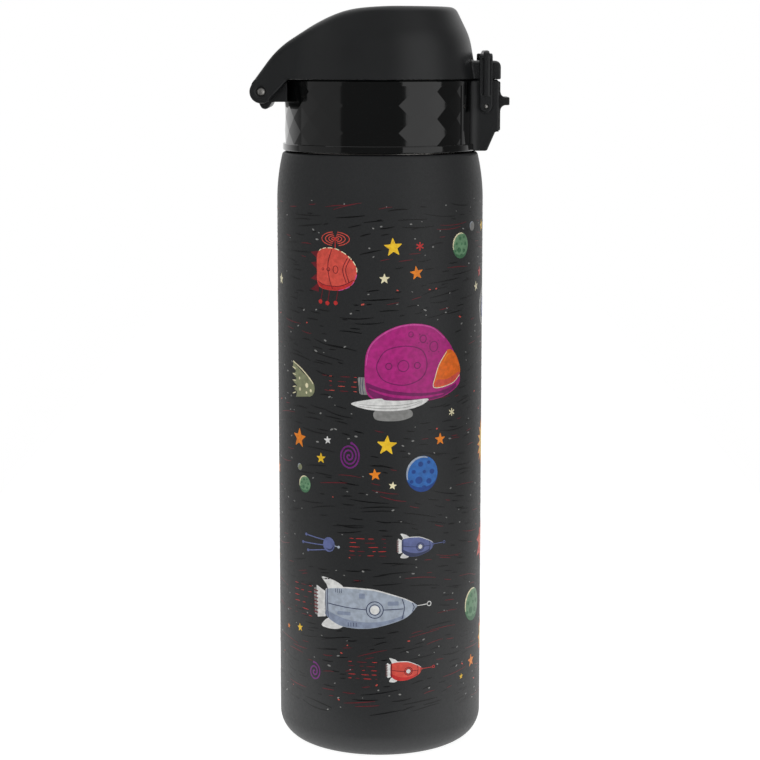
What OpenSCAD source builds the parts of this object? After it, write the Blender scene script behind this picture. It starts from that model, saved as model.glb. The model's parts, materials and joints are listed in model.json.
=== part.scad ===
// Kids' flip-top water bottle: a slim steel bottle with a screw-on lid, a hinged cap,
// a press-button latch and a safety bail that swings over the cap's lug.
// Frame: origin on the bottle's axis in the plane it stands on, +Z up,
// +X towards the latch, -X towards the cap's hinge. Millimetres.

/* [Bottle] */
// Outside diameter of the steel body
body_d = 68; // [57:0.1:82]
// Height at which the straight wall ends
body_h = 182.3; // [150:0.1:220]
// Height of the curved shoulder
shoulder_h = 15.9; // [12:0.1:20]
// How far the shoulder draws the wall in
shoulder_in = 1.95; // [1.2:0.05:2.6]
// Radius of the corner round the base
base_round = 8.8; // [6:0.1:12]
// Thickness of the steel sheet
steel_t = 0.6; // [0.4:0.05:0.9]
// Height of the domed centre of the base
base_rise = 2.6; // [1.5:0.1:4]
// How far the neck is set in from the body wall
neck_in = 7.4; // [6.5:0.1:9]
// Height of the neck above the shoulder
neck_h = 14.8; // [12:0.1:18]

/* [Screw thread] */
// Rise of the thread in one turn
thread_pitch = 4.5; // [4:0.1:5.4]
// How far the neck's thread stands out
thread_depth = 1.1; // [0.9:0.05:1.3]
// Turns of thread on the neck
thread_turns = 1.6; // [1.3:0.1:1.9]

/* [Lid collar] */
// Wall of the threaded inner sleeve
sleeve_t = 1.5; // [1.2:0.1:2]
// Wall of the outer collar
collar_t = 1.8; // [1.4:0.1:2.4]
// How far the collar's bottom rim stands out
rim_out = 0.7; // [0.3:0.1:1]
// Thickness of the deck that closes the lid
deck_t = 2; // [1.5:0.1:3]
// Depth of the well between the deck and the collar's top
well_depth = 4.8; // [3.5:0.1:6]
// Thickness of the silicone ring on the neck
gasket_t = 1.6; // [1.2:0.1:2.4]
// Outside diameter of the drinking spout
spout_d = 19.2; // [16:0.1:23]
// Bore of the drinking spout
spout_bore = 14.4; // [11:0.1:16]
// Height of the spout above the deck
spout_h = 17; // [13:0.1:20.4]
// How far the spout's axis is ahead of the bottle's axis
spout_x = 4; // [2:0.1:6]

/* [Cap] */
// Height of the cap above the parting line
cap_h = 23.2; // [19.3:0.1:27.8]
// Wall of the cap
cap_t = 1.8; // [1.4:0.1:2.2]
// How far the cap's rim stands out past the collar
cap_out = 0.4; // [0:0.1:1]
// Half the width of the tongue that reaches back to the hinge
tongue_half = 19; // [16:0.1:22]
// Thickness of each hinge arm
arm_t = 4.8; // [4:0.1:6]
// Thickness of the silicone seal on the spout
seal_t = 2.4; // [1.8:0.1:3]

/* [Hinge] */
// Diameter of the hinge pin
pin_d = 2; // [1.6:0.1:2.6]
// Wall round the hinge pin
knuckle_wall = 1.1; // [0.9:0.1:1.5]
// Skin of the cap round the knuckle
boss_skin = 1.35; // [1.1:0.05:1.8]
// How far the pin stands out from the collar
hinge_out = 6.8; // [6:0.1:8.2]
// How far the pin is below the parting line
hinge_drop = 3.85; // [3.2:0.05:4.6]

/* [Latch] */
// Half the width of the latch housing
housing_half = 9.5; // [8:0.1:11.4]
// How far the housing's front is from the collar
housing_out = 7.3; // [6.7:0.1:8.6]
// Side walls of the housing
cheek_t = 1.9; // [1.6:0.1:2.3]
// How far the button plate stands proud of the housing
button_proud = 0.6; // [0.3:0.1:0.9]
// Thickness of the button plate
button_t = 2.8; // [2.4:0.1:3.2]
// How far the thumb ledge stands out
ledge_out = 3; // [2:0.1:4]
// Height of the lug on the cap
lug_h = 6; // [5.5:0.1:7]
// Diameter of the button's pin
button_pin_d = 1.6; // [1.2:0.1:2]
// Wire of the button's spring
spring_wire = 0.4; // [0.3:0.05:0.5]

/* [Safety bail] */
// Width of the bail's band
bail_w = 4.3; // [3.6:0.1:5.2]
// Thickness of the bail's legs and crossbar
bail_t = 1.3; // [1:0.1:1.7]
// How far the bail's rib stands out
bail_rib = 1; // [0.5:0.1:1.4]
// Diameter of the bail's pins
bail_pin_d = 1.25; // [1:0.05:1.6]
// How far the bail's pins are below the parting line
bail_drop = 8.7; // [7.5:0.1:10.4]

/* [Fits] */
// Gap between the cap and the collar
part_gap = 0.4; // [0.3:0.05:0.6]
// Gap under the collar's bottom rim
collar_gap = 0.5; // [0.3:0.05:0.8]
// Radial clearance of a pin in a hole that turns on it
running = 0.05; // [0.03:0.01:0.08]
// Gap between neighbours that move past each other
gap = 0.3; // [0.2:0.05:0.4]

/* [Hidden] */
$fn = 96;
eps = 0.01;

// bottle
body_r = body_d / 2;
shelf_z = body_h + shoulder_h;
shoulder_r = (shoulder_h * shoulder_h + shoulder_in * shoulder_in) / (2 * shoulder_in);
shelf_round = 0.8;
neck_r = body_r - neck_in;
neck_top = shelf_z + neck_h;
base_open_r = body_r - base_round - 4.2;
base_land = 2;

// lid: levels
collar_z = shelf_z + collar_gap;
deck_z = neck_top + gasket_t;
deck_top = deck_z + deck_t;
collar_top = deck_top + well_depth;
part_z = collar_top + part_gap;
top_z = part_z + cap_h;
crown = 0.15;
rim_h = 2.4;
flange_t = 1.6;
flange_in = 3;

// lid: radii
sleeve_bore = neck_r + thread_depth + gap;
sleeve_r = sleeve_bore + sleeve_t;
collar_r = sleeve_r + collar_t;
cap_r = collar_r + cap_out;

// thread
thread_steps = 36;
thread_root_w = 2;
thread_crest_w = 1.2;
thread_bite = 0.3;
thread_z = shelf_z + 3.3;

// spout and seal
spout_r = spout_d / 2;
bore_r = spout_bore / 2;
spout_top = deck_top + spout_h;
spout_foot = 1;
spout_flange_t = 1.2;
spout_flange_out = 2.4;
seal_plug = 1.4;
seal_draft = 0.4;
seal_out = 1;
vent_x = spout_x - spout_r - 9;
vent_r = 1.6;

// hinge
pin_r = pin_d / 2;
pin_x = -(collar_r + hinge_out);
pin_z = part_z - hinge_drop;
knuckle_r = pin_r + knuckle_wall;
boss_r = knuckle_r + gap + boss_skin;
arm_in = tongue_half - arm_t;
knuckle_half = arm_in - gap;
pin_head_r = pin_r + 0.3;
pin_head_t = 0.45;
recess_r = pin_head_r + 0.4;
recess_t = 0.6;
skin_end_angle = 125;
stop_r = 1.6;
stop_drop = 4.05;

// latch
house_x = collar_r + housing_out;
plate_x = house_x + button_proud;
cheek_in = housing_half - cheek_t;
button_half = cheek_in - gap;
pocket_x = cap_r + gap;
pocket_z = shelf_z + 6.7;
button_z = pocket_z + gap;
button_top = collar_top - gap;
button_back = plate_x - button_t;
button_pin_r = button_pin_d / 2;
button_pin_x = button_back - 0.4;
button_pin_z = button_z + 2.1;
barrel_r = button_pin_r + 1;
stem_t = 1.6;
stem_half = 3.8;
hook_reach = 1.3;
lug_x = plate_x;
lug_half = housing_half - 0.2;
lug_top = part_z + lug_h;
lug_wall = 1.2;
lug_roof = 1;
lug_round = 1;
catch_x = button_back + gap;
catch_h = 2.1;
hook_z = part_z + catch_h + gap;

// bail
bail_x = collar_r + 3;
bail_z = part_z - bail_drop;
bail_in = housing_half + 0.2;
bail_out = bail_in + bail_t;
bail_pin_r = bail_pin_d / 2;
bail_boss_r = bail_pin_r + 1.4;
bail_reach = norm([lug_x - bail_x, lug_top - bail_z]);
bail_arch = bail_reach + 0.2;
bail_round = 2.2;

function dir(a) = [cos(a), sin(a)];
function unit(v) = v / norm(v);
function back(list) = [for (i = [len(list) - 1:-1:0]) list[i]];

// Points along an arc about c, from angle a0 to a1
function arc(c, r, a0, a1, n = 12) = [for (i = [0:n]) c + r * dir(a0 + (a1 - a0) * i / n)];

// The corner b between a and c, rounded to radius r
function corner(a, b, c, r, n = 8) =
    let (
        u = unit(a - b),
        w = unit(c - b),
        half = acos(u * w) / 2,
        o = b + unit(u + w) * r / sin(half),
        p = b + u * r / tan(half) - o,
        q = b + w * r / tan(half) - o,
        a0 = atan2(p.y, p.x),
        turn = (atan2(q.y, q.x) - a0 + 540) % 360 - 180
    )
    arc(o, r, a0, a0 + turn, n);

// A closed outline of [x, y, radius] points; radius 0 leaves a corner sharp
function outline(pts) =
    let (n = len(pts), p = [for (v = pts) [v.x, v.y]])
    [for (i = [0:n - 1])
        each pts[i][2] > 0 ? corner(p[(i + n - 1) % n], p[i], p[(i + 1) % n], pts[i][2]) : [p[i]]];

// Where a line from q touches the circle of radius r about c; side is 1 or -1
function touch(q, c, r, side) =
    let (d = norm(q - c), a = atan2(q.y - c.y, q.x - c.x))
    c + r * dir(a + side * acos(r / d));

// Extrudes an X-Z outline along Y, between two Y values
module along_y(y0, y1) {
    translate([0, y1, 0])
        rotate([90, 0, 0])
            linear_extrude(y1 - y0)
                children();
}

// A bar along Y at (x, z)
module rod(x, z, r, y0, y1) {
    translate([x, y1, z])
        rotate([90, 0, 0])
            cylinder(r = r, h = y1 - y0);
}

// A helical ridge of trapezoid section. It starts at height z and angle 0, is rooted at
// radius root and its crest is at radius crest; both ends fade out.
module thread(root, crest, z, turns) {
    n = ceil(turns * thread_steps);
    fade = 5;
    rings = [for (i = [0:n])
        let (
            a = i * 360 / thread_steps,
            h = z + thread_pitch * i / thread_steps,
            s = min(1, (i + 0.6) / fade, (n - i + 0.6) / fade),
            top = root + (crest - root) * s,
            w0 = thread_root_w / 2,
            w1 = thread_crest_w / 2
        )
        each [for (p = [[root, h - w0], [top, h - w1], [top, h + w1], [root, h + w0]])
            [p[0] * cos(a), p[0] * sin(a), p[1]]]];
    sides = [for (i = [0:n - 1], k = [0:3])
        let (a = 4 * i + k, b = 4 * i + (k + 1) % 4)
        each [[a, b + 4, b], [a, a + 4, b + 4]]];
    ends = [[0, 1, 2], [0, 2, 3], [4 * n, 4 * n + 2, 4 * n + 1], [4 * n, 4 * n + 3, 4 * n + 2]];
    faces = concat(sides, ends);
    polyhedron(rings, crest > root ? [for (f = faces) back(f)] : faces);
}

// ---------------------------------------------------------------- bottle

// The steel's outline, moved inwards by t, from the base's edge to the neck's rim
function shell_side(t) =
    let (
        a1 = asin((shelf_z - t - body_h) / (shoulder_r - t)),
        c = [body_r - shoulder_r, body_h],
        edge = c + (shoulder_r - t) * dir(a1),
        root = [neck_r - t, shelf_z - t]
    )
    concat(
        [[base_open_r, t]],
        arc([body_r - base_round, base_round], base_round - t, -90, 0),
        arc(c, shoulder_r - t, 0, a1 * 0.9),
        corner(c + (shoulder_r - t) * dir(a1 * 0.92), edge, root, shelf_round - t / 2),
        [root, [neck_r - t, neck_top]]
    );

module bottle_shell() {
    color("#26282a") {
        rotate_extrude()
            polygon(concat(shell_side(0), back(shell_side(steel_t))));
        thread(neck_r - thread_bite, neck_r + thread_depth, thread_z, thread_turns);
    }
}

// The welded floor: a flat land on the shell's ring and a raised centre
module base_plate() {
    outer = base_open_r + base_land;
    step = base_open_r - 1.5;
    centre = step - 3.5;
    color("#26282a")
        rotate_extrude()
            polygon([
                [0, base_rise],
                [centre, base_rise],
                [step, steel_t],
                [outer, steel_t],
                [outer, 2 * steel_t],
                [step, 2 * steel_t],
                [centre, base_rise + steel_t],
                [0, base_rise + steel_t]
            ]);
}

module neck_gasket() {
    color("#9a9c9c")
        translate([0, 0, neck_top])
            difference() {
                cylinder(r = sleeve_bore - gap, h = gasket_t);
                translate([0, 0, -eps])
                    cylinder(r = neck_r - steel_t - 0.6, h = gasket_t + 2 * eps);
            }
}

// ---------------------------------------------------------------- lid

module collar_ring() {
    rotate_extrude()
        polygon(outline([
            [sleeve_r, collar_z, 0],
            [collar_r + rim_out, collar_z, 0.5],
            [collar_r + rim_out, collar_z + rim_h - 0.7, 0.4],
            [collar_r, collar_z + rim_h, 0],
            [collar_r, collar_top, 0.3],
            [sleeve_r - flange_in, collar_top, 0.3],
            [sleeve_r - flange_in, collar_top - flange_t, 0],
            [sleeve_r, collar_top - flange_t, 0]
        ]));
}

// The latch housing seen from the side, with its chamfered chin
module housing_side() {
    polygon([
        [sleeve_r + 0.4, collar_z],
        [house_x - 3.8, collar_z],
        [house_x - 1.1, pocket_z],
        [house_x, pocket_z],
        [house_x, collar_top],
        [sleeve_r + 0.4, collar_top]
    ]);
}

// The hinge bracket seen from the side: a web, the knuckle round the pin and a stop below it
module bracket_side() {
    web_top = collar_top - 0.4;
    web_z = pin_z - 3.35;
    stop = [pin_x + 1, pin_z - stop_drop];
    translate([pin_x, pin_z])
        circle(knuckle_r);
    translate(stop)
        circle(stop_r);
    polygon([
        [-sleeve_r - 0.4, web_top],
        [pin_x + 4, web_top],
        [pin_x + 0.3, pin_z + knuckle_r - 0.05],
        [pin_x - 0.35, pin_z - knuckle_r + 0.1],
        [stop.x - stop_r + 0.1, stop.y],
        [stop.x + 0.6, web_z - 1],
        [stop.x + stop_r, web_z],
        [-sleeve_r - 0.4, web_z]
    ]);
}

module collar_shell() {
    color("#141516")
        difference() {
            union() {
                collar_ring();
                difference() {
                    along_y(-housing_half, housing_half)
                        housing_side();
                    cylinder(r = collar_r - 0.4, h = top_z);
                }
                difference() {
                    along_y(-knuckle_half, knuckle_half)
                        bracket_side();
                    cylinder(r = collar_r - 0.4, h = top_z);
                }
            }
            translate([pocket_x, -cheek_in, pocket_z])
                cube([housing_out + 4, 2 * cheek_in, part_z]);
            rod(pin_x, pin_z, pin_r, -knuckle_half - 1, knuckle_half + 1);
            rod(button_pin_x, button_pin_z, button_pin_r, -housing_half + 0.6, housing_half - 0.6);
            rod(bail_x, bail_z, bail_pin_r, -housing_half - 1, -cheek_in - 0.5);
            rod(bail_x, bail_z, bail_pin_r, cheek_in + 0.5, housing_half + 1);
        }
}

module collar_liner() {
    color("#3a3c3e") {
        difference() {
            translate([0, 0, collar_z + gap])
                cylinder(r = sleeve_r, h = collar_top - flange_t - collar_z - gap);
            cylinder(r = sleeve_bore, h = deck_z);
            translate([0, 0, deck_top])
                cylinder(r = sleeve_bore, h = top_z);
            translate([spout_x, 0, 0])
                cylinder(r = spout_r - spout_foot, h = top_z);
            translate([vent_x, 0, 0])
                cylinder(r = vent_r, h = top_z);
        }
        thread(sleeve_bore + thread_bite, neck_r + gap, thread_z + thread_pitch / 2, thread_turns - 0.3);
    }
}

// The drinking spout, with a flange on the deck and a foot through it
module spout() {
    foot_r = spout_r - spout_foot;
    color("#2b2d2f")
        translate([spout_x, 0, 0])
            rotate_extrude()
                polygon(outline([
                    [bore_r, deck_z - 1, 0],
                    [foot_r, deck_z - 1, 0],
                    [foot_r, deck_top, 0],
                    [spout_r + spout_flange_out, deck_top, 0],
                    [spout_r + spout_flange_out, deck_top + spout_flange_t, 0.5],
                    [spout_r, deck_top + spout_flange_t, 0],
                    [spout_r, spout_top - 3, 3],
                    [spout_r - 0.5, spout_top, 0.7],
                    [bore_r, spout_top, 0.7]
                ]));
}

// A silicone mushroom valve that lets air in through the deck
module vent_valve() {
    head = 3.2;
    skirt = 2.3;
    color("#b9bbbb")
        translate([vent_x, 0, 0])
            rotate_extrude()
                polygon([
                    [0.45, deck_z - 0.9],
                    [skirt, deck_z - 0.5],
                    [skirt, deck_z],
                    [vent_r, deck_z],
                    [vent_r, deck_top],
                    [head, deck_top],
                    [head - 0.5, deck_top + 0.9],
                    [0.45, deck_top + 1.1]
                ]);
}

module hinge_pin() {
    seat = tongue_half - recess_t + running;
    color("silver") {
        rod(pin_x, pin_z, pin_r, -seat, seat);
        rod(pin_x, pin_z, pin_head_r, -seat - pin_head_t, -seat);
        rod(pin_x, pin_z, pin_head_r, seat, seat + pin_head_t);
    }
}

module bail_pin(y0, y1) {
    color("silver")
        rod(bail_x, bail_z, bail_pin_r, y0, y1);
}

module bail_pin_near() {
    bail_pin(-bail_out - 0.05, -cheek_in - 0.5);
}

module bail_pin_far() {
    bail_pin(cheek_in + 0.5, bail_out + 0.05);
}

module button_pin() {
    color("silver")
        rod(button_pin_x, button_pin_z, button_pin_r, -housing_half + 0.6, housing_half - 0.6);
}

// A compression spring between the housing's back wall and the button
module button_spring() {
    turns = 4;
    steps = 16;
    sides = 6;
    n = turns * steps;
    r = spring_wire / 2;
    mean_r = 1.7;
    length = button_back - pocket_x - spring_wire;
    z = button_pin_z + 6.5;
    pts = [for (i = [0:n], k = [0:sides - 1])
        let (a = i * 360 / steps, b = k * 360 / sides, q = mean_r + r * cos(b))
        [pocket_x + r + length * i / n + r * sin(b), q * cos(a), z + q * sin(a)]];
    skin = [for (i = [0:n - 1], k = [0:sides - 1])
        let (a = sides * i + k, b = sides * i + (k + 1) % sides)
        each [[a, b, b + sides], [a, b + sides, a + sides]]];
    first = [for (k = [sides - 1:-1:0]) k];
    last = [for (k = [0:sides - 1]) n * sides + k];
    color("silver")
        polyhedron(pts, concat(skin, [first, last]));
}

// ---------------------------------------------------------------- cap

// The whole cap seen from the side: crown, the slope down to the hinge and the boss
module cap_side() {
    pin = [pin_x, pin_z];
    front = lug_x + 8;
    knee = [pin_x + 5.5, pin_z + 13.7, 7];
    brow = [pin_x + 23.3, top_z - 2.1, 25];
    arm_root = [pin_x + 8.7, part_z];
    high = touch([knee.x, knee.y], pin, boss_r, 1);
    low = touch(arm_root, pin, boss_r, -1);
    translate(pin)
        circle(boss_r);
    polygon(outline([
        [front, part_z, 0],
        [front, top_z + 4, 0],
        [pin_x + 58, top_z + 4, 0],
        [pin_x + 42.1, top_z + 1.5, 0],
        brow,
        knee,
        [high.x, high.y, 0],
        [pin.x, pin.y, 0],
        [low.x, low.y, 0],
        [arm_root.x, arm_root.y, 0]
    ]));
}

// The round dome, moved inwards by t
module cap_dome(t) {
    rotate_extrude()
        polygon(outline([
            [0, part_z - (t > 0 ? 1 : 0), 0],
            [cap_r - t, part_z - (t > 0 ? 1 : 0), 0],
            [cap_r - 2.3 - t, part_z + cap_h * 0.58, 20],
            [cap_r - 7.1 - t, top_z - t, 3],
            [0, top_z + (t > 0 ? -t : crown), 0]
        ]));
}

// The tongue seen from above, with the hollow fillets that blend it into the dome
module tongue_plan() {
    blend = 12;
    cy = tongue_half + blend;
    cx = sqrt(pow(cap_r + blend, 2) - cy * cy);
    meet = [-cx, cy] * cap_r / (cap_r + blend);
    translate([pin_x - boss_r - 1, -tongue_half])
        square([-pin_x + boss_r + 1 - 18, 2 * tongue_half]);
    for (s = [1, -1])
        scale([1, s])
            difference() {
                polygon([[-cx, 0], [-cx, cy], meet, [-12, 0]]);
                translate([-cx, cy])
                    circle(blend);
            }
}

// What is hollow inside the dome
module cap_cavity() {
    skin = [cap_t * 0.72, -cap_t * 0.78];
    intersection() {
        cap_dome(cap_t);
        translate([0, 0, skin.y - 0.2])
            along_y(-cap_r, cap_r)
                translate([skin.x, 0])
                    cap_side();
    }
    translate([0, 0, part_z - 1])
        intersection() {
            cylinder(r = cap_r - cap_t, h = 4);
            translate([pin_x + 12, -cap_r, 0])
                cube([100, 2 * cap_r, 4]);
        }
}

// The room for the bracket between the two hinge arms
module hinge_pocket_side() {
    pin = [pin_x, pin_z];
    edge = pin_x + 16;
    translate(pin)
        circle(knuckle_r + gap);
    intersection() {
        translate([cap_t * 0.72, -cap_t * 0.78])
            cap_side();
        translate([pin_x, pin_z])
            square([16, 30]);
    }
    polygon([
        pin,
        pin + 12 * dir(skin_end_angle),
        [pin_x - 12, pin_z - 12],
        [edge, pin_z - 12],
        [edge, part_z + eps],
        [pin_x + 1, pin_z]
    ]);
}

// The hollow in the lug, with the ledge that the button's hook holds
module lug_hollow_side() {
    front = lug_x - lug_wall;
    roof = lug_top - lug_roof;
    polygon([
        [pocket_x - 0.1, part_z - 1],
        [catch_x, part_z - 1],
        [catch_x, part_z + catch_h],
        [front, part_z + catch_h],
        [front, roof],
        [pocket_x - 0.1, roof]
    ]);
}

module cap_shell() {
    color("#1f2022")
        difference() {
            union() {
                intersection() {
                    cap_dome(0);
                    along_y(-cap_r, cap_r)
                        cap_side();
                }
                intersection() {
                    translate([0, 0, pin_z - boss_r - 1])
                        linear_extrude(cap_h + 12)
                            tongue_plan();
                    along_y(-cap_r, cap_r)
                        cap_side();
                }
                along_y(-lug_half, lug_half)
                    polygon(outline([
                        [cap_r - 3.5, part_z, 0],
                        [lug_x, part_z, 0],
                        [lug_x, lug_top, lug_round],
                        [cap_r - 3.5, lug_top, 0]
                    ]));
            }
            cap_cavity();
            along_y(-arm_in, arm_in)
                hinge_pocket_side();
            along_y(-cheek_in + 1, cheek_in - 1)
                lug_hollow_side();
            rod(pin_x, pin_z, pin_r + running, -cap_r, cap_r);
            rod(pin_x, pin_z, recess_r, -cap_r, -tongue_half + recess_t);
            rod(pin_x, pin_z, recess_r, tongue_half - recess_t, cap_r);
        }
}

// The plate inside the cap that carries the seal, hung from the roof on a short tube
module cap_liner() {
    plate_z = spout_top + seal_t;
    plate_t = 1.6;
    seal_r = spout_r + seal_out;
    color("#333537")
        intersection() {
            cap_cavity();
            translate([spout_x, 0, 0])
                rotate_extrude()
                    polygon([
                        [seal_r, plate_z - seal_t + 0.5],
                        [seal_r + 1.4, plate_z - seal_t + 0.5],
                        [seal_r + 1.4, plate_z],
                        [seal_r + 7.5, plate_z],
                        [seal_r + 7.5, plate_z + plate_t],
                        [6, plate_z + plate_t],
                        [6, top_z],
                        [4, top_z],
                        [4, plate_z],
                        [seal_r, plate_z]
                    ]);
        }
}

module spout_seal() {
    color("#8f9293")
        translate([spout_x, 0, 0])
            rotate_extrude()
                polygon([
                    [0, spout_top - seal_plug],
                    [bore_r - gap - seal_draft, spout_top - seal_plug],
                    [bore_r - gap, spout_top],
                    [spout_r + seal_out, spout_top],
                    [spout_r + seal_out, spout_top + seal_t],
                    [0, spout_top + seal_t]
                ]);
}

// ---------------------------------------------------------------- latch and bail

// Seen from the side: plate with its thumb ledge, the barrel on the pin, the stem and the hook
module button_side() {
    ledge_z = bail_z + 1.6;
    tip = plate_x + ledge_out;
    flare = 1.75;
    difference() {
        polygon([
            [plate_x - 1, ledge_z - 3.05],
            [plate_x, ledge_z - 3.05],
            [tip - 1.2, ledge_z - 1.3],
            [tip, ledge_z - 1.3],
            [tip, ledge_z + 1.3],
            [tip - 1.2, ledge_z + 1.3],
            [plate_x, ledge_z + 3.05],
            [plate_x - 1, ledge_z + 3.05]
        ]);
        for (s = [1, -1])
            translate([plate_x + flare + 0.05, ledge_z + s * (1.3 + flare)])
                circle(flare);
    }
    translate([button_back, button_z])
        square([button_t, button_top - button_z]);
    translate([button_pin_x, button_pin_z])
        circle(barrel_r);
}

module hook_side() {
    top = hook_z + 2;
    polygon([
        [button_back - stem_t, button_top - 4],
        [button_back + 0.5, button_top - 4],
        [button_back + 0.5, button_top],
        [button_back, button_top],
        [button_back, hook_z],
        [button_back + hook_reach, hook_z],
        [button_back + hook_reach, hook_z + 0.4],
        [button_back, top],
        [button_back - stem_t, top]
    ]);
}

module latch_button() {
    color("#1a1b1c")
        difference() {
            union() {
                along_y(-button_half, button_half)
                    button_side();
                along_y(-stem_half, stem_half)
                    hook_side();
            }
            rod(button_pin_x, button_pin_z, button_pin_r + running, -housing_half, housing_half);
        }
}

// The bail's leg and crossbar seen from the side; grow widens the reach outwards
module bail_side(w, grow) {
    top = bail_arch + bail_t + grow;
    translate([bail_x, bail_z]) {
        circle(bail_boss_r);
        polygon([
            [-bail_boss_r * 0.95, 0.6],
            [bail_boss_r, 0],
            [w / 2, 4.2],
            [w / 2, top],
            [-w / 2, top],
            [-w / 2, 5.4]
        ]);
    }
}

// The bail's loop seen from the front, as an outline in Y and Z
module bail_loop(grow) {
    outer = bail_out + grow;
    top = bail_z + bail_arch + bail_t + grow;
    foot = bail_z - bail_boss_r - 1;
    difference() {
        polygon(outline([
            [-outer, foot, 0],
            [outer, foot, 0],
            [outer, top, bail_round + grow],
            [-outer, top, bail_round + grow]
        ]));
        polygon(outline([
            [-bail_in, foot - 1, 0],
            [bail_in, foot - 1, 0],
            [bail_in, bail_z + bail_arch, bail_round - bail_t],
            [-bail_in, bail_z + bail_arch, bail_round - bail_t]
        ]));
    }
}

module bail_band(w, grow) {
    intersection() {
        along_y(-bail_out - 2, bail_out + 2)
            bail_side(w, grow);
        rotate([90, 0, 90])
            linear_extrude(2 * house_x)
                bail_loop(grow);
    }
}

module lock_bail() {
    rib_w = 1.5;
    color("#191a1b")
        difference() {
            union() {
                bail_band(bail_w, 0);
                intersection() {
                    bail_band(rib_w, bail_rib);
                    translate([0, -bail_out - 2, bail_z + bail_arch - 4])
                        cube([2 * house_x, 2 * bail_out + 4, 20]);
                    translate([0, -bail_out, 0])
                        cube([2 * house_x, 2 * bail_out, 2 * top_z]);
                }
            }
            rod(bail_x, bail_z, bail_pin_r + running, -bail_out - 1, bail_out + 1);
        }
}

bottle_shell();
base_plate();
neck_gasket();
collar_shell();
collar_liner();
spout();
vent_valve();
hinge_pin();
bail_pin_near();
bail_pin_far();
button_pin();
button_spring();
cap_shell();
cap_liner();
spout_seal();
latch_button();
lock_bail();
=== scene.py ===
"""A slim steel bottle for children: flip-top lid, catch with a safety bail, screen print of a night sky.

All working sizes are millimetres in the frame's axes. The bottle stands on Z = 0, its hinge is at -X and
its catch at +X.
"""
import json
import math
import random

import bmesh
import bpy
import numpy as np
from bpy.props import FloatProperty, FloatVectorProperty, IntProperty, PointerProperty
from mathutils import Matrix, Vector
from mathutils.geometry import tessellate_polygon


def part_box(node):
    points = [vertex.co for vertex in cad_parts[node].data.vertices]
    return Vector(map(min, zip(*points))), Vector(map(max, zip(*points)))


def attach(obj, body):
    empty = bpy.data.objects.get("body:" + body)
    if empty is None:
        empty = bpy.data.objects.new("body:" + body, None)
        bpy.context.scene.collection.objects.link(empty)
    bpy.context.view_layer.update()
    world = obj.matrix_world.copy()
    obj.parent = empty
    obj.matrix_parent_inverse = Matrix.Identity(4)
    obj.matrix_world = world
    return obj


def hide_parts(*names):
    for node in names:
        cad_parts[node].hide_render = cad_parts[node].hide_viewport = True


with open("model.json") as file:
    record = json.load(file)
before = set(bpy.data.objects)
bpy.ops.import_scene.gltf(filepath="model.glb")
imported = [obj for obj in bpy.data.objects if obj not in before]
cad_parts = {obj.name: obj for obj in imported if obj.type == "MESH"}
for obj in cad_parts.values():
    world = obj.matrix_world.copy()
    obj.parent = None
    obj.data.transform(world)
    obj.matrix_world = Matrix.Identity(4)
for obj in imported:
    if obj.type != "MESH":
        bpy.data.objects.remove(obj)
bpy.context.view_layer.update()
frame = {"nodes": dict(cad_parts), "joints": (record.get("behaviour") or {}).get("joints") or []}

bl_info = {
    "name": "Flip-top bottle",
    "version": (1, 0, 0),
    "blender": (4, 5, 0),
    "location": "View3D > Sidebar > Bottle",
    "description": "Builds the bottle's visible pieces round its packed frame",
    "category": "Add Mesh",
}

MM = 0.001


def linear(code):
    """An sRGB hex colour as linear red, green, blue and alpha."""
    parts = [int(code[i:i + 2], 16) / 255 for i in (1, 3, 5)]
    return [c / 12.92 if c <= 0.04045 else ((c + 0.055) / 1.055) ** 2.4 for c in parts] + [1.0]


def corners(node):
    """Lowest and highest corner of a frame node, in millimetres."""
    low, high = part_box(node)
    return low / MM, high / MM


def pivot(name):
    """X and Z of a joint's axis, in millimetres."""
    place = next(j["pos_m"] for j in frame["joints"] if j["name"] == name)
    return place[0] / MM, place[2] / MM


# Places that the frame gives
PIN_X, PIN_Z = pivot("cap_hinge")
BAIL_X, BAIL_Z = pivot("bail_swing")
BUTTON_X, BUTTON_Z = pivot("button_press")
COLLAR_LOW, COLLAR_HIGH = corners("collar_shell")
CAP_HIGH = corners("cap_shell")[1]
PLATE_LOW, PLATE_HIGH = corners("latch_button")
LOOP_HIGH = corners("lock_bail")[1]
SPOUT_LOW, SPOUT_HIGH = corners("spout")
SEAL_LOW, SEAL_HIGH = corners("spout_seal")
VALVE_LOW, VALVE_HIGH = corners("vent_valve")
GASKET_LOW, GASKET_HIGH = corners("neck_gasket")
WALL_R = -corners("bottle_shell")[0].y
NECK_TOP = corners("bottle_shell")[1].z
PART_Z = COLLAR_HIGH.z + 0.4
SPOUT_X = (SPOUT_LOW.x + SPOUT_HIGH.x) / 2
VALVE_X = (VALVE_LOW.x + VALVE_HIGH.x) / 2


class BottleSizes(bpy.types.PropertyGroup):
    """Sizes of the visible detail"""

    facets_round: IntProperty(
        name="Facets round", description="Diamonds in one turn of the collar", default=22, min=8, max=40)
    facet_rise: FloatProperty(
        name="Facet rise", description="Half a diamond's height", default=4.3 * MM,
        subtype="DISTANCE", precision=4)
    moulding_step: FloatProperty(
        name="Moulding step", description="Mesh spacing on the moulded pieces", default=0.5 * MM,
        subtype="DISTANCE", precision=5)
    ink_height: FloatProperty(
        name="Ink height", description="How far the first layer of ink stands off the coat",
        default=0.03 * MM, subtype="DISTANCE", precision=6)
    stroke_rows: IntProperty(
        name="Stroke rows", description="Rows of fine strokes up the wall", default=92, min=0, max=200)
    specks: IntProperty(
        name="Specks", description="Pale specks printed round the bottle", default=620, min=0, max=2000)


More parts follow.
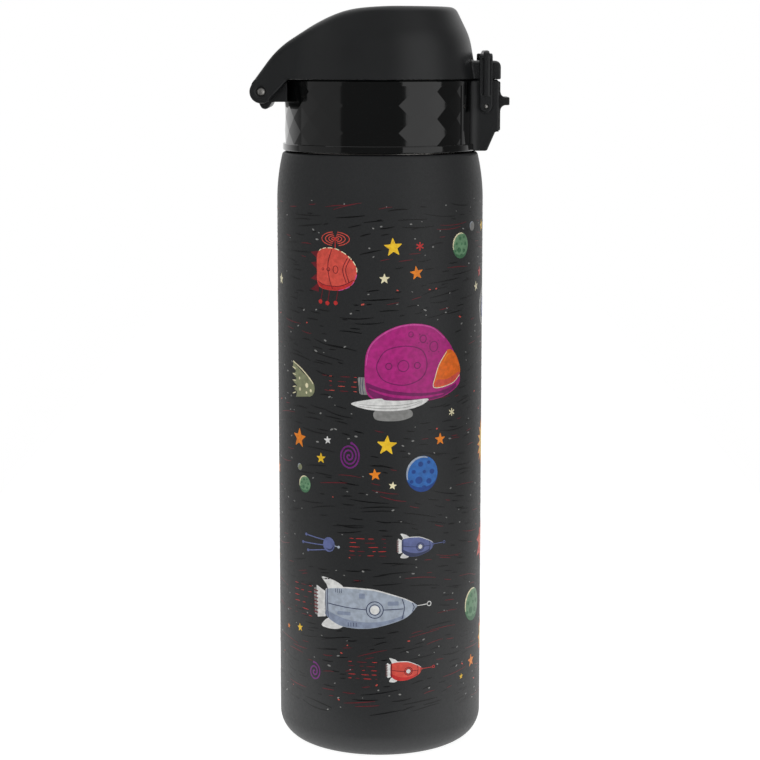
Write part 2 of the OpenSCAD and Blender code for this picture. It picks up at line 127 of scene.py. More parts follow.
class BottleColours(bpy.types.PropertyGroup):
    """Colours of the finishes and the inks"""

    coat: FloatVectorProperty(
        name="Coat", description="Powder coat on the steel", subtype="COLOR", size=4,
        default=linear("#28292a"))
    gloss: FloatVectorProperty(
        name="Collar", description="Gloss ABS of the collar", subtype="COLOR", size=4,
        default=linear("#070808"))
    satin: FloatVectorProperty(
        name="Cap", description="Satin ABS of the cap and the catch", subtype="COLOR", size=4,
        default=linear("#1c1d1e"))
    liner: FloatVectorProperty(
        name="Liner", description="Polypropylene inside the lid", subtype="COLOR", size=4,
        default=linear("#35373a"))
    silicone: FloatVectorProperty(
        name="Silicone", description="Seals and valve", subtype="COLOR", size=4,
        default=linear("#a9abab"))
    steel: FloatVectorProperty(
        name="Steel", description="Bare stainless steel", subtype="COLOR", size=4, default=linear("#c9c7c3"))


INKS = {
    "yellow": "#fcc92c",
    "orange": "#f58a1f",
    "cream": "#f6ecc4",
    "white": "#e4e4e2",
    "silver": "#aab4c2",
    "grey": "#8b8b89",
    "red": "#c8312f",
    "dark_red": "#6d1824",
    "coral": "#dc5346",
    "pink": "#cf4fa0",
    "magenta": "#b3217f",
    "purple": "#742579",
    "blue": "#2f6cb8",
    "navy": "#1d4690",
    "steel_blue": "#656fa0",
    "green": "#6f9a75",
    "dark_green": "#4a7a57",
    "olive": "#8d9170",
    "plum": "#7a1a60",
    "slate": "#39405f",
    "amber": "#ef6f1b",
    "haze": "#8c97ad",
    "black": "#050506",
}


# ---------------------------------------------------------------- materials


def add(tree, kind, settings=None, inputs=None):
    """Adds a shader node. Settings are its own properties; inputs are values or output sockets."""
    made = tree.nodes.new("ShaderNode" + kind)
    for name, value in (settings or {}).items():
        setattr(made, name, value)
    for name, value in (inputs or {}).items():
        if isinstance(value, bpy.types.NodeSocket):
            tree.links.new(value, made.inputs[name])
        else:
            made.inputs[name].default_value = value
    return made


def finish(name, **uniform):
    """A material whose Principled shader has its uniform inputs set, with its tree and that shader."""
    made = bpy.data.materials.new(name)
    made.use_nodes = True
    tree = made.node_tree
    shader = tree.nodes["Principled BSDF"]
    for socket, value in uniform.items():
        shader.inputs[socket.replace("_", " ")].default_value = value
    return made, tree, shader


def noise(tree, grain_mm, detail=2.0, stretch=(1, 1, 1)):
    """Noise whose grains are that many millimetres across, stretched along the axes."""
    place = add(tree, "TexCoord").outputs["Object"]
    scaled = add(tree, "Mapping", inputs={"Vector": place, "Scale": [1 / s for s in stretch]})
    return add(tree, "TexNoise", inputs={
        "Vector": scaled.outputs[0], "Scale": 1 / (grain_mm * MM), "Detail": detail}).outputs["Fac"]


def tone(tree, factor, dark, light, low=0.35, high=0.65):
    """A colour that goes from dark to light as the factor goes from low to high."""
    ramp = add(tree, "MapRange", inputs={"Value": factor, "From Min": low, "From Max": high})
    return add(tree, "Mix", {"data_type": "RGBA"}, {0: ramp.outputs[0], 6: dark, 7: light}).outputs[2]


def level(tree, factor, low, high):
    """A number that goes from low to high as the noise does."""
    return add(tree, "MapRange", inputs={
        "Value": factor, "From Min": 0.3, "From Max": 0.7, "To Min": low, "To Max": high}).outputs[0]


def relief(tree, height, depth_mm):
    """A normal raised by the height, that many millimetres deep."""
    return add(tree, "Bump", inputs={"Height": height, "Distance": depth_mm * MM, "Strength": 1.0}).outputs[0]


def shade(colour, factor):
    """The colour, darker or lighter."""
    return [min(1.0, c * factor) for c in colour[:3]] + [1.0]


def powder_coat(colour):
    """Polyester powder coat, sprayed and baked: satin, with a fine orange peel and darker pits."""
    made, tree, shader = finish("powder_coat_satin_baked", IOR=1.5)
    peel = noise(tree, 0.9, 3)  # waves of the flowed coat, at their real spacing
    grit = noise(tree, 0.28, 1)  # powder grains are 0.05 mm: drawn coarser, so that they show
    colours = tone(tree, grit, shade(colour, 0.86), shade(colour, 1.12))
    tree.links.new(colours, shader.inputs["Base Color"])
    tree.links.new(level(tree, peel, 0.46, 0.56), shader.inputs["Roughness"])
    tree.links.new(relief(tree, peel, 0.012), shader.inputs["Normal"])
    return made


def moulded_plastic(name, colour, gloss, grain_mm, depth_mm, coat=0.0):
    """Injection-moulded plastic: even, with the mould's own grain breaking up its reflections."""
    made, tree, shader = finish(name, IOR=1.54, Coat_Weight=coat, Coat_Roughness=0.03)
    cloud = noise(tree, 14, 2)  # flow marks, about a wall's width across
    grain = noise(tree, grain_mm, 2)
    tree.links.new(tone(tree, cloud, shade(colour, 0.93), shade(colour, 1.08)), shader.inputs["Base Color"])
    tree.links.new(level(tree, grain, gloss * 0.92, gloss * 1.1), shader.inputs["Roughness"])
    tree.links.new(relief(tree, grain, depth_mm), shader.inputs["Normal"])
    return made


def cast_silicone(colour):
    """Food-grade silicone rubber, compression moulded: soft, dull and slightly milky."""
    made, tree, shader = finish(
        "silicone_rubber_moulded", IOR=1.41, Subsurface_Weight=0.25, Subsurface_Scale=0.002)
    cloud = noise(tree, 5, 3)
    tree.links.new(tone(tree, cloud, shade(colour, 0.9), shade(colour, 1.06)), shader.inputs["Base Color"])
    tree.links.new(level(tree, cloud, 0.5, 0.6), shader.inputs["Roughness"])
    skin = noise(tree, 0.4, 1)  # the blasted mould's 0.1 mm texture, drawn coarser
    tree.links.new(relief(tree, skin, 0.01), shader.inputs["Normal"])
    return made


def spun_steel(name, colour, rough, ring_mm):
    """Stainless steel, spun or turned: fine rings round the axis catch the light."""
    made, tree, shader = finish(name, Metallic=1.0)
    rings = noise(tree, ring_mm, 3, (40, 40, 1))  # tool marks are 0.05 mm apart: drawn coarser
    tree.links.new(tone(tree, rings, shade(colour, 0.84), shade(colour, 1.05)), shader.inputs["Base Color"])
    tree.links.new(level(tree, rings, rough * 0.8, rough * 1.25), shader.inputs["Roughness"])
    tree.links.new(relief(tree, rings, 0.004), shader.inputs["Normal"])
    return made


def screen_ink(name, code):
    """Screen-printed epoxy ink: a thin film, mottled where it dried unevenly, with the mesh's texture."""
    made, tree, shader = finish(f"screen_ink_{name}", IOR=1.5)
    colour = linear(code)
    patch = noise(tree, 1.6, 4)
    mesh = noise(tree, 0.25, 1)  # the screen's threads are 0.1 mm apart: drawn coarser
    tree.links.new(tone(tree, patch, shade(colour, 0.82), shade(colour, 1.1)), shader.inputs["Base Color"])
    tree.links.new(level(tree, patch, 0.36, 0.46), shader.inputs["Roughness"])
    tree.links.new(relief(tree, mesh, 0.008), shader.inputs["Normal"])
    return made


FINISHES = {}


def make_finishes(colours):
    """Every material, once. Plastics are given their gloss, grain and its depth in millimetres."""
    # Spark erosion leaves grains of about 0.05 mm; they are drawn at half a millimetre, so that they show.
    FINISHES.update(
        coat=powder_coat(colours.coat),
        gloss=moulded_plastic("abs_gloss_polished_mould", colours.gloss, 0.09, 6, 0.004, 0.4),
        satin=moulded_plastic("abs_satin_spark_eroded_mould", colours.satin, 0.4, 0.45, 0.008),
        liner=moulded_plastic("polypropylene_satin_moulded", colours.liner, 0.42, 0.6, 0.008),
        silicone=cast_silicone(colours.silicone),
        steel=spun_steel("stainless_steel_spun", colours.steel, 0.28, 0.35),
        pin=spun_steel("stainless_steel_turned_pin", shade(colours.steel, 1.3), 0.45, 0.2),
    )
    for name, code in INKS.items():
        FINISHES["ink_" + name] = screen_ink(name, code)


# ---------------------------------------------------------------- meshes


def place(name, mesh, body, slot, finishes, replaced=()):
    """Puts a finished mesh, in metres, into the scene and on its body. The slot is not used."""
    made = bpy.data.objects.new(name, mesh)
    bpy.context.scene.collection.objects.link(made)
    for key in finishes:
        mesh.materials.append(FINISHES[key])
    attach(made, body)
    if replaced:
        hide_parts(*replaced)
    return made


def to_mesh(name, points, faces, sharp=35, weld=True):
    """A mesh in metres from points in millimetres, smooth but for edges sharper than the angle."""
    mesh = bpy.data.meshes.new(name)
    mesh.from_pydata([Vector(p) * MM for p in points], [], [tuple(f) for f in faces])
    work = bmesh.new()
    work.from_mesh(mesh)
    if weld:
        bmesh.ops.remove_doubles(work, verts=work.verts, dist=1e-7)
        bmesh.ops.dissolve_degenerate(work, edges=work.edges, dist=1e-8)
    bmesh.ops.recalc_face_normals(work, faces=work.faces)
    work.to_mesh(mesh)
    work.free()
    mesh.polygons.foreach_set("use_smooth", [True] * len(mesh.polygons))
    mesh.set_sharp_from_angle(angle=math.radians(sharp))
    return mesh


def arc(cx, cz, r, start, end, steps=10):
    """Points along an arc, angles in degrees."""
    angles = [math.radians(start + (end - start) * i / steps) for i in range(steps + 1)]
    return [(cx + r * math.cos(a), cz + r * math.sin(a)) for a in angles]


def rounded(points, steps=5):
    """A closed outline of (x, z, radius) points with its corners rounded."""
    out = []
    for i, (x, z, r) in enumerate(points):
        before, after = Vector(points[i - 1][:2]), Vector(points[(i + 1) % len(points)][:2])
        here = Vector((x, z))
        if not r:
            out.append((x, z))
            continue
        u, w = (before - here).normalized(), (after - here).normalized()
        half = u.angle(w) / 2
        centre = here + (u + w).normalized() * r / math.sin(half)
        first = here + u * r / math.tan(half) - centre
        turn = first.angle_signed(here + w * r / math.tan(half) - centre)
        start = math.degrees(math.atan2(first.y, first.x))
        out += arc(centre.x, centre.y, r, start, start - math.degrees(turn), steps)
    return out


def turned(profile, x=0.0, steps=128):
    """Points and faces of a closed outline of (radius, z) turned round a vertical axis at x."""
    n = len(profile)
    angles = [2 * math.pi * i / steps for i in range(steps)]
    points = [(x + r * math.cos(a), r * math.sin(a), z) for a in angles for r, z in profile]
    faces = [
        (i * n + j, ((i + 1) % steps) * n + j, ((i + 1) % steps) * n + (j + 1) % n, i * n + (j + 1) % n)
        for i in range(steps) for j in range(n)
    ]
    return points, faces


def gather(*parts):
    """Several (points, faces) as one."""
    points, faces = [], []
    for more, sides in parts:
        faces += [tuple(i + len(points) for i in f) for f in sides]
        points += list(more)
    return points, faces


# ---------------------------------------------------------------- moulded shapes
# A moulded shape is a function of x, y and z that is below zero inside it, and close to a distance.


def both(a, b, soft=0.0):
    """What is in both shapes; soft rounds the edge where they meet."""
    top = np.maximum(a, b)
    if not soft:
        return top
    h = np.maximum(soft - np.abs(a - b), 0) / soft
    return top + h * h * soft / 4


def either(a, b, soft=0.0):
    """What is in one shape or the other; soft fills the corner where they meet."""
    return -both(-a, -b, soft)


def less(a, b, soft=0.0):
    """The first shape without the second."""
    return both(a, -b, soft)


def beside(x, z, start, end):
    """Distance to the left of the line from start to end, in the plane of x and z."""
    dx, dz = end[0] - start[0], end[1] - start[1]
    return (dx * (z - start[1]) - dz * (x - start[0])) / math.hypot(dx, dz)


def rod(x, z, cx, cz, r):
    """A round bar along Y."""
    return np.hypot(x - cx, z - cz) - r


def span(value, low, high):
    """Between two values."""
    return np.maximum(low - value, value - high)


def moulded(shape, low, high, cell):
    """Closed surface of a shape, by surface nets: one point in each cell that it crosses, moved onto it."""
    axes = [np.arange(a - cell, b + 2 * cell, cell) for a, b in zip(low, high)]
    grid = np.meshgrid(*axes, indexing="ij")
    value = shape(*grid)
    inside = value < 0
    cells = [s - 1 for s in inside.shape]
    count, where, hits = np.zeros(cells, int), np.zeros(cells + [3]), np.zeros(cells)
    corner = lambda a, i, j, k: a[i:i + cells[0], j:j + cells[1], k:k + cells[2]]
    for i, j, k in np.ndindex(2, 2, 2):
        count += corner(inside, i, j, k)
        for axis in range(3):
            if (i, j, k)[axis]:
                continue
            end = [i, j, k]
            end[axis] = 1
            v0, v1 = corner(value, i, j, k), corner(value, *end)
            crossed = (v0 < 0) != (v1 < 0)
            share = np.where(crossed, v0 / np.where(crossed, v0 - v1, 1), 0)
            for d in range(3):
                where[..., d] += np.where(crossed, (share if d == axis else (i, j, k)[d]), 0)
            hits += crossed
    mixed = (count > 0) & (count < 8)
    index = -np.ones(cells, int)
    index[mixed] = np.arange(mixed.sum())
    base = np.stack(np.nonzero(mixed), -1)
    points = np.array(low) - cell + cell * (base + where[mixed] / hits[mixed][:, None])
    step = cell * 0.02
    for _ in range(3):
        here = shape(*points.T)
        slope = np.stack([
            (shape(*(points + step * e).T) - shape(*(points - step * e).T)) / (2 * step)
            for e in np.eye(3)], -1)
        steep = np.maximum((slope ** 2).sum(1), 0.25)
        move = -here[:, None] * slope / steep[:, None]
        points = points + np.clip(move, -0.4 * cell, 0.4 * cell)
    faces = []
    for axis in range(3):
        order = (axis, (axis + 1) % 3, (axis + 2) % 3)
        solid, number = np.transpose(inside, order), np.transpose(index, order)
        start, end = solid[:-1, 1:-1, 1:-1], solid[1:, 1:-1, 1:-1]
        quad = np.stack([
            number[:, :-1, :-1], number[:, 1:, :-1], number[:, 1:, 1:], number[:, :-1, 1:]], -1)
        faces += quad[start & ~end].tolist() + quad[end & ~start][:, ::-1].tolist()
    return points.tolist(), faces


# ---------------------------------------------------------------- bottle

# The bottle's steel, its base and shoulder, and the rolled thread on its neck
STEEL_T = 0.6
SHELF_Z = COLLAR_LOW.z - 0.5
NECK_R = 26.6
BASE_ROUND = 8.8
BASE_OPEN_R = 21.0
SHOULDER_Z = SHELF_Z - 15.9
SHOULDER_R = 65.8
THREAD_PITCH = 4.5
THREAD_TURNS = 1.6
THREAD_H = 1.1


def shell_outline(inset):
    """The steel from the base's opening to the neck's rim, moved inwards by the inset."""
    r = SHOULDER_R - inset
    reach = math.degrees(math.asin((SHELF_Z - inset - SHOULDER_Z) / r))
    shoulder = arc(WALL_R - SHOULDER_R, SHOULDER_Z, r, 0, reach - 1.0, 14)
    edge = (WALL_R - SHOULDER_R + r * math.cos(math.radians(reach)), SHELF_Z - inset)
    shelf = rounded([(*shoulder[-1], 0), (*edge, 1.1 - inset / 2), (NECK_R - inset, edge[1], 0)])[1:-1]
    foot = arc(WALL_R - BASE_ROUND, BASE_ROUND, BASE_ROUND - inset, -90, 0, 14)
    return [(BASE_OPEN_R, inset)] + foot + shoulder[1:] + shelf + [(NECK_R - inset, SHELF_Z - inset)]


def neck_thread():
    """The rolled thread: a round-topped ridge that fades in and out."""
    steps, across = 160, 7
    points, faces = [], []
    for i in range(steps + 1):
        turn = THREAD_TURNS * i / steps
        rise = THREAD_H * min(1.0, 12 * i / steps + 0.05, 12 * (1 - i / steps) + 0.05)
        a = 2 * math.pi * turn
        for k in range(across):
            t = k / (across - 1)
            r = NECK_R - 0.3 + (rise + 0.3) * math.sin(math.pi * t) ** 0.6
            z = SHELF_Z + 3.3 + THREAD_PITCH * turn + 1.9 * (t - 0.5)
            points.append((r * math.cos(a), r * math.sin(a), z))
    for i in range(steps):
        for k in range(across):
            a, b = i * across + k, i * across + (k + 1) % across
            faces.append((a, b, b + across, a + across))
    faces.append(tuple(range(across))[::-1])
    faces.append(tuple(steps * across + k for k in range(across)))
    return points, faces


class BOTTLE_OT_shell(bpy.types.Operator):
    """The spun steel bottle: coated outside, bare inside and above the shoulder"""

    bl_idname = "bottle.shell"
    bl_label = "Bottle"

    def execute(self, context):
        outer, inner = shell_outline(0), shell_outline(STEEL_T)
        lip = arc(NECK_R - 0.45, NECK_TOP - 0.55, 0.55, 0, 180, 8)
        profile = outer + [(NECK_R, NECK_TOP - 0.9)] + lip
        profile += [(NECK_R - STEEL_T, NECK_TOP - 1.5)] + inner[::-1]
        points, faces = gather(turned(profile, steps=288), neck_thread())
        mesh = to_mesh("bottle_steel", points, faces)
        place("bottle_steel", mesh, "bottle", "powder_coat", ("coat", "steel"), ("bottle_shell",))
        bare_z = (SHELF_Z - 0.02) * MM
        bare_r = (NECK_R + 1.6) * MM
        for side in mesh.polygons:
            c = side.center
            r = math.hypot(c.x, c.y)
            out = side.normal.x * c.x + side.normal.y * c.y
            if c.z > BASE_ROUND * MM:
                inside = out < 0
            else:
                inside = c.z < BASE_ROUND * MM and side.normal.z > 0.1
            bare = inside or (c.z > bare_z and r < bare_r)
            side.material_index = 1 if bare else 0
        return {"FINISHED"}


class BOTTLE_OT_frame_pieces(bpy.types.Operator):
    """Gives the frame's own pieces that are shown their finishes"""

    bl_idname = "bottle.frame_pieces"
    bl_label = "Frame pieces"

    def execute(self, context):
        for node, key in (("base_plate", "coat"), ("collar_liner", "liner"), ("button_pin", "pin"),
                          ("button_spring", "pin")):
            shown = frame["nodes"][node]
            if not shown.material_slots:
                shown.data.materials.append(None)
            for held in shown.material_slots:
                held.link = "OBJECT"
                held.material = FINISHES[key]
        return {"FINISHED"}


# ---------------------------------------------------------------- collar

# The band of diamonds: its limits, its radius over the corners, the mesh cells along one facet, and the
# angle either side of the catch where the ring is plain
BAND_LOW = COLLAR_LOW.z + 2.4
BAND_HIGH = COLLAR_HIGH.z - 1.5
BAND_MIDDLE = (BAND_LOW + BAND_HIGH) / 2 - 1.0
FACET_R = 31.3
FACET_CELLS = 6
SMOOTH_HALF = 34.0
FIRST_FACET = 27.2
BORE_R = 29.5
RIM_R = 32.0
LIP_R = 26.5
# The catch's housing, and the bracket on the hinge
HOUSING_HALF = 9.5
FLARE_HALF = 13.0
CHEEK_IN = 7.6
POCKET_Z = SHELF_Z + 6.7
BRACKET_HALF = 13.9
# Where the ring and the housing reach up into the gap below the cap
GAP_TOP = PART_Z - 0.06


def facet_point(column, row, columns, rise):
    """A point of the relief: each diamond is the ruled surface through its four corners on the cylinder."""
    a, b = column / FACET_CELLS, (row - BAND_MIDDLE) / rise
    near = [(A, B) for A in range(math.floor(a) - 1, math.floor(a) + 3)
            for B in range(math.floor(b) - 1, math.floor(b) + 3) if (A + B) % 2 == 0]
    A, B = min(near, key=lambda n: abs(a - n[0]) + abs(b - n[1]))
    u, v = a - A, b - B
    half = math.pi / columns
    x = FACET_R * (1 - (1 - math.cos(half)) * (1 - v * v + u * u) / 2)
    y = FACET_R * math.sin(half) * u
    return x, y, A * half


def collar_ring(sizes):
    """The gloss ring: plain rims, a band of diamonds, and a plain stretch either side of the catch."""
    columns, rise = sizes.facets_round, sizes.facet_rise / MM
    n = columns * 2 * FACET_CELLS
    first = math.radians(FIRST_FACET)
    under = [(BORE_R, COLLAR_LOW.z), (RIM_R - 0.4, COLLAR_LOW.z)]
    under += arc(RIM_R - 0.5, COLLAR_LOW.z + 0.5, 0.5, -60, 0, 4)
    under += arc(RIM_R - 0.4, BAND_LOW - 0.4, 0.4, 0, 70, 4)
    over = [(31.36, BAND_HIGH + 0.02)] + arc(31.16, COLLAR_HIGH.z - 0.3, 0.3, 10, 90, 4)
    over += [(30.6, COLLAR_HIGH.z), (30.5, GAP_TOP), (30.1, GAP_TOP), (30.0, COLLAR_HIGH.z)]
    over += [(LIP_R + 0.3, COLLAR_HIGH.z), (LIP_R, COLLAR_HIGH.z - 0.3)]
    over += [(LIP_R, BAND_HIGH - 0.1), (BORE_R, BAND_HIGH - 0.1)]
    low = math.ceil((BAND_LOW + 0.05 - BAND_MIDDLE) / (rise / FACET_CELLS))
    high = math.floor((BAND_HIGH - 0.05 - BAND_MIDDLE) / (rise / FACET_CELLS))
    rows = [BAND_MIDDLE + k * rise / FACET_CELLS for k in range(low, high + 1)]
    rows = [BAND_LOW] + rows + [BAND_HIGH]
    profile = len(under) + len(rows) + len(over)
    points = []
    for i in range(n):
        turn = i * math.pi / (columns * FACET_CELLS)
        plain = lambda r, z: (r * math.sin(first + turn), -r * math.cos(first + turn), z)
        away = abs((math.degrees(first + turn) - 90 + 180) % 360 - 180)
        points += [plain(r, z) for r, z in under]
        for z in rows:
            if away < SMOOTH_HALF:
                points.append(plain(FACET_R + 0.02, z))
                continue
            x, y, own = facet_point(i, z, columns, rise)
            a = first + own
            points.append((x * math.sin(a) + y * math.cos(a), -x * math.cos(a) + y * math.sin(a), z))
        points += [plain(r, z) for r, z in over]
    faces = []
    for i in range(n):
        for j in range(profile):
            a, b = i * profile + j, ((i + 1) % n) * profile + j
            d, c = a - j + (j + 1) % profile, b - j + (j + 1) % profile
            if not len(under) <= j < len(under) + len(rows) - 1:
                faces.append((a, b, c, d))
                continue
            row = j - len(under)
            ac = (i + 0.5) / FACET_CELLS
            bc = ((rows[row] + rows[row + 1]) / 2 - BAND_MIDDLE) / rise
            falling = abs((ac + bc) % 2 - 1)
            rising = abs((bc - ac) % 2 - 1)
            faces += [(a, b, d), (b, c, d)] if falling < rising else [(a, b, c), (a, c, d)]
    return points, faces


def catch_housing(x, y, z):
    """The housing of the catch's button: a block flared into the ring, with a chamfered chin and a pocket."""
    w = np.abs(y)
    chin_low, chin_high = (COLLAR_HIGH.x - 3.8, COLLAR_LOW.z), (COLLAR_HIGH.x - 1.1, POCKET_Z)
    front = np.where(z < POCKET_Z, beside(x, z, chin_high, chin_low), x - COLLAR_HIGH.x)
    level_ends = both(COLLAR_LOW.z - z, z - COLLAR_HIGH.z)
    plan = both(both(w - HOUSING_HALF, 29.5 - x), front, 0.5)
    reach = np.hypot(x, y)
    wall = both(both(reach - FACET_R + 0.3, w - FLARE_HALF), 26.5 - x)
    block = both(either(plan, wall, 3.0), level_ends, 0.5)
    block = less(block, reach - 29.8)
    upstand = span(z, COLLAR_HIGH.z - 2, GAP_TOP)
    ledge = both(both(w - 6.0, span(x, 30.5, 31.8)), upstand)
    cheek = both(both(span(w, 7.9, 9.0), span(x, 31.5, COLLAR_HIGH.x - 0.4)), upstand)
    block = either(block, either(ledge, cheek))
    pocket = both(both(w - CHEEK_IN, 32.0 - x), POCKET_Z - z)
    return less(block, pocket, 0.25)


def hinge_bracket(x, y, z):
    """The bracket between the cap's arms: a web, the knuckle on the pin and a stop below it."""
    w = np.abs(y)
    web = both(span(z, PIN_Z - 3.35, COLLAR_HIGH.z - 0.4), span(x, PIN_X - 0.3, 1.4 - FACET_R))
    web = both(web, beside(x, z, (PIN_X + 0.3, PIN_Z + 2.05), (PIN_X + 4.0, COLLAR_HIGH.z - 0.4)), 0.5)
    stop = rod(x, z, PIN_X + 1.0, PIN_Z - 4.05, 1.6)
    side = either(either(web, rod(x, z, PIN_X, PIN_Z, 2.1), 0.4), stop, 1.6)
    return both(side, w - BRACKET_HALF, 0.4)


class BOTTLE_OT_collar(bpy.types.Operator):
    """The gloss collar: diamond band, rims, catch housing and hinge bracket"""

    bl_idname = "bottle.collar"
    bl_label = "Collar"

    def execute(self, context):
        sizes = context.scene.bottle_sizes
        ring = to_mesh("collar_gloss", *collar_ring(sizes), sharp=3.2)
        low, high = (26.0, -FLARE_HALF, COLLAR_LOW.z), (COLLAR_HIGH.x, FLARE_HALF, PART_Z)
        housing = moulded(catch_housing, low, high, 0.33)
        low, high = (PIN_X - 2.5, -BRACKET_HALF, PIN_Z - 6), (-BORE_R, BRACKET_HALF, COLLAR_HIGH.z)
        bracket = moulded(hinge_bracket, low, high, 0.4)
        blocks = to_mesh("collar_blocks", *gather(housing, bracket), sharp=50, weld=False)
        blocks.polygons.foreach_set("material_index", [1] * len(blocks.polygons))
        work = bmesh.new()
        work.from_mesh(ring)
        work.from_mesh(blocks)
        work.to_mesh(ring)
        work.free()
        bpy.data.meshes.remove(blocks)
        place("collar_gloss", ring, "lid", "gloss_abs", ("gloss", "satin"), ("collar_shell",))
        return {"FINISHED"}


# ---------------------------------------------------------------- lid inside

SPOUT_R = 9.6
SPOUT_BORE_R = 7.2
SPOUT_TALL = 17.0
SPOUT_FOOT = 2.4


class BOTTLE_OT_lid_inside(bpy.types.Operator):
    """What stands on the lid's deck: the spout and the air valve, and the gasket below"""

    bl_idname = "bottle.lid_inside"
    bl_label = "Spout, valve and gasket"

    def execute(self, context):
        deck, top = SPOUT_HIGH.z - SPOUT_TALL, SPOUT_HIGH.z
        foot = SPOUT_R + SPOUT_FOOT
        spout = rounded([
            (SPOUT_BORE_R, SPOUT_LOW.z, 0.4), (SPOUT_R - 1, SPOUT_LOW.z, 0.4), (SPOUT_R - 1, deck, 0),
            (foot, deck, 0.1), (foot, deck + 1.2, 0.5), (SPOUT_R, deck + 1.2, 0.8),
            (SPOUT_R, top - 3, 3), (SPOUT_R - 0.5, top, 0.9), (SPOUT_BORE_R, top, 0.9)])
        mesh = to_mesh("spout_moulded", *turned(spout, SPOUT_X, 144))
        place("spout_moulded", mesh, "lid", "satin_pp", ("liner",), ("spout",))
        valve = rounded([
            (0.0, VALVE_LOW.z, 0), (2.3, VALVE_LOW.z + 0.2, 0.2), (2.3, deck - 2.0, 0.2),
            (1.6, deck - 2.0, 0), (1.6, deck, 0), (3.2, deck, 0.15),
            (2.7, VALVE_HIGH.z - 0.2, 0.4), (0.0, VALVE_HIGH.z, 0)])
        mesh = to_mesh("valve_moulded", *turned(valve, VALVE_X, 64))
        place("valve_moulded", mesh, "lid", "silicone", ("silicone",), ("vent_valve",))
        gasket = rounded([
            (NECK_R - 1.2, GASKET_LOW.z, 0.3), (GASKET_HIGH.x, GASKET_LOW.z, 0.3),
            (GASKET_HIGH.x, GASKET_HIGH.z, 0.3), (NECK_R - 1.2, GASKET_HIGH.z, 0.3)])
        mesh = to_mesh("gasket_moulded", *turned(gasket, 0, 160))
        place("gasket_moulded", mesh, "gasket", "silicone", ("silicone",), ("neck_gasket",))
        return {"FINISHED"}


# ---------------------------------------------------------------- cap

# The cap's dome and wall, the tongue and arms at the hinge, and the lug at the catch
DOME_R = 31.7
CAP_T = 1.8
TONGUE_HALF = 19.0
ARM_IN = 14.2
BOSS_R = 3.75
LUG_HALF = 9.3
LUG_TOP = PART_Z + 6.0
# The seat of the hinge pin's head
RECESS_R = 1.7
RECESS_T = 0.6


def slope_line(x, z):
    """Outside the cap's slope from the crown to the hinge: three flats with soft bends."""
    knee, brow = (PIN_X + 5.5, PIN_Z + 13.7), (PIN_X + 23.3, CAP_HIGH.z - 2.1)
    reach = math.hypot(knee[0] - PIN_X, knee[1] - PIN_Z)
    steep = math.atan2(knee[1] - PIN_Z, knee[0] - PIN_X) - math.asin(BOSS_R / reach)
    foot = (knee[0] - 20 * math.cos(steep), knee[1] - 20 * math.sin(steep))
    flats = both(beside(x, z, foot, knee) - 0.25, beside(x, z, knee, brow) - 0.25, 2.0)
    return both(flats, beside(x, z, brow, (PIN_X + 42.1, CAP_HIGH.z + 1.35)) - 0.3, 4.0)


def cap_outside(x, y, z):
    """The cap's dome and tongue, with no inside: the dome's side leans in and turns over at the crown."""
    reach, w = np.hypot(x, y), np.abs(y)
    belt = (DOME_R - 2.3, PART_Z + 13.456)
    side = both(beside(reach, z, belt, (DOME_R, PART_Z)),
                beside(reach, z, (DOME_R - 7.1, CAP_HIGH.z - 0.15), belt), 0.9)
    narrow = TONGUE_HALF - 0.011 * np.maximum(z - PART_Z - 2.5, 0) ** 2
    tongue = both(w - narrow, x + 10)
    plan = either(side, tongue, 4.8)
    top = z - CAP_HIGH.z + 0.15 * (reach / 24.6) ** 2
    return both(both(plan, top, 1.9), slope_line(x, z), 2.2)


def cap_arms(x, y, z):
    """The two arms that reach down to the pin, flat outside, with a seat for the pin's head."""
    w = np.abs(y)
    root = (PIN_X + 8.7, PART_Z)
    reach = math.hypot(root[0] - PIN_X, root[1] - PIN_Z)
    low = math.atan2(root[1] - PIN_Z, root[0] - PIN_X) + math.asin(BOSS_R / reach)
    under = (PIN_X + BOSS_R * math.sin(low), PIN_Z - BOSS_R * math.cos(low))
    bar = both(slope_line(x, z), beside(x, z, root, under))
    bar = both(bar, span(x, PIN_X - 3, PIN_X + 12))
    bar = both(bar, both(z - PART_Z - 5, PIN_Z - z - 1.5))
    side = either(bar, rod(x, z, PIN_X, PIN_Z, BOSS_R), 0.3)
    arm = both(side, w - TONGUE_HALF, 0.8)
    seat = both(rod(x, z, PIN_X, PIN_Z, RECESS_R), TONGUE_HALF - RECESS_T - w)
    return less(both(arm, ARM_IN - w, 0.4), seat, 0.2)


def cap_shape(x, y, z):
    """The cap: a hollow dome with its tongue and arms, and the lug that the catch's hook holds."""
    w = np.abs(y)
    solid = cap_outside(x, y, z)
    hollow = solid + CAP_T
    front = CAP_HIGH.x
    lug = both(both(both(w - LUG_HALF, x - front, 0.8), 28.0 - x), z - LUG_TOP, 2.2)
    shell = less(either(solid, lug, 0.5), hollow)
    room = either(both(span(x, 32.0, front - 2.5), z - LUG_TOP + 1.0),
                  both(span(x, 32.0, front - 1.2), span(z, PART_Z + 2.1, LUG_TOP - 1.0)))
    shell = less(shell, both(room, w - CHEEK_IN + 1.0), 0.2)
    shell = both(shell, PART_Z - z, 0.35)
    # Above the parting the arms keep within the cap's outside; below it nothing bounds them.
    return either(shell, both(cap_arms(x, y, z), np.where(z < PART_Z, -40.0, solid)))


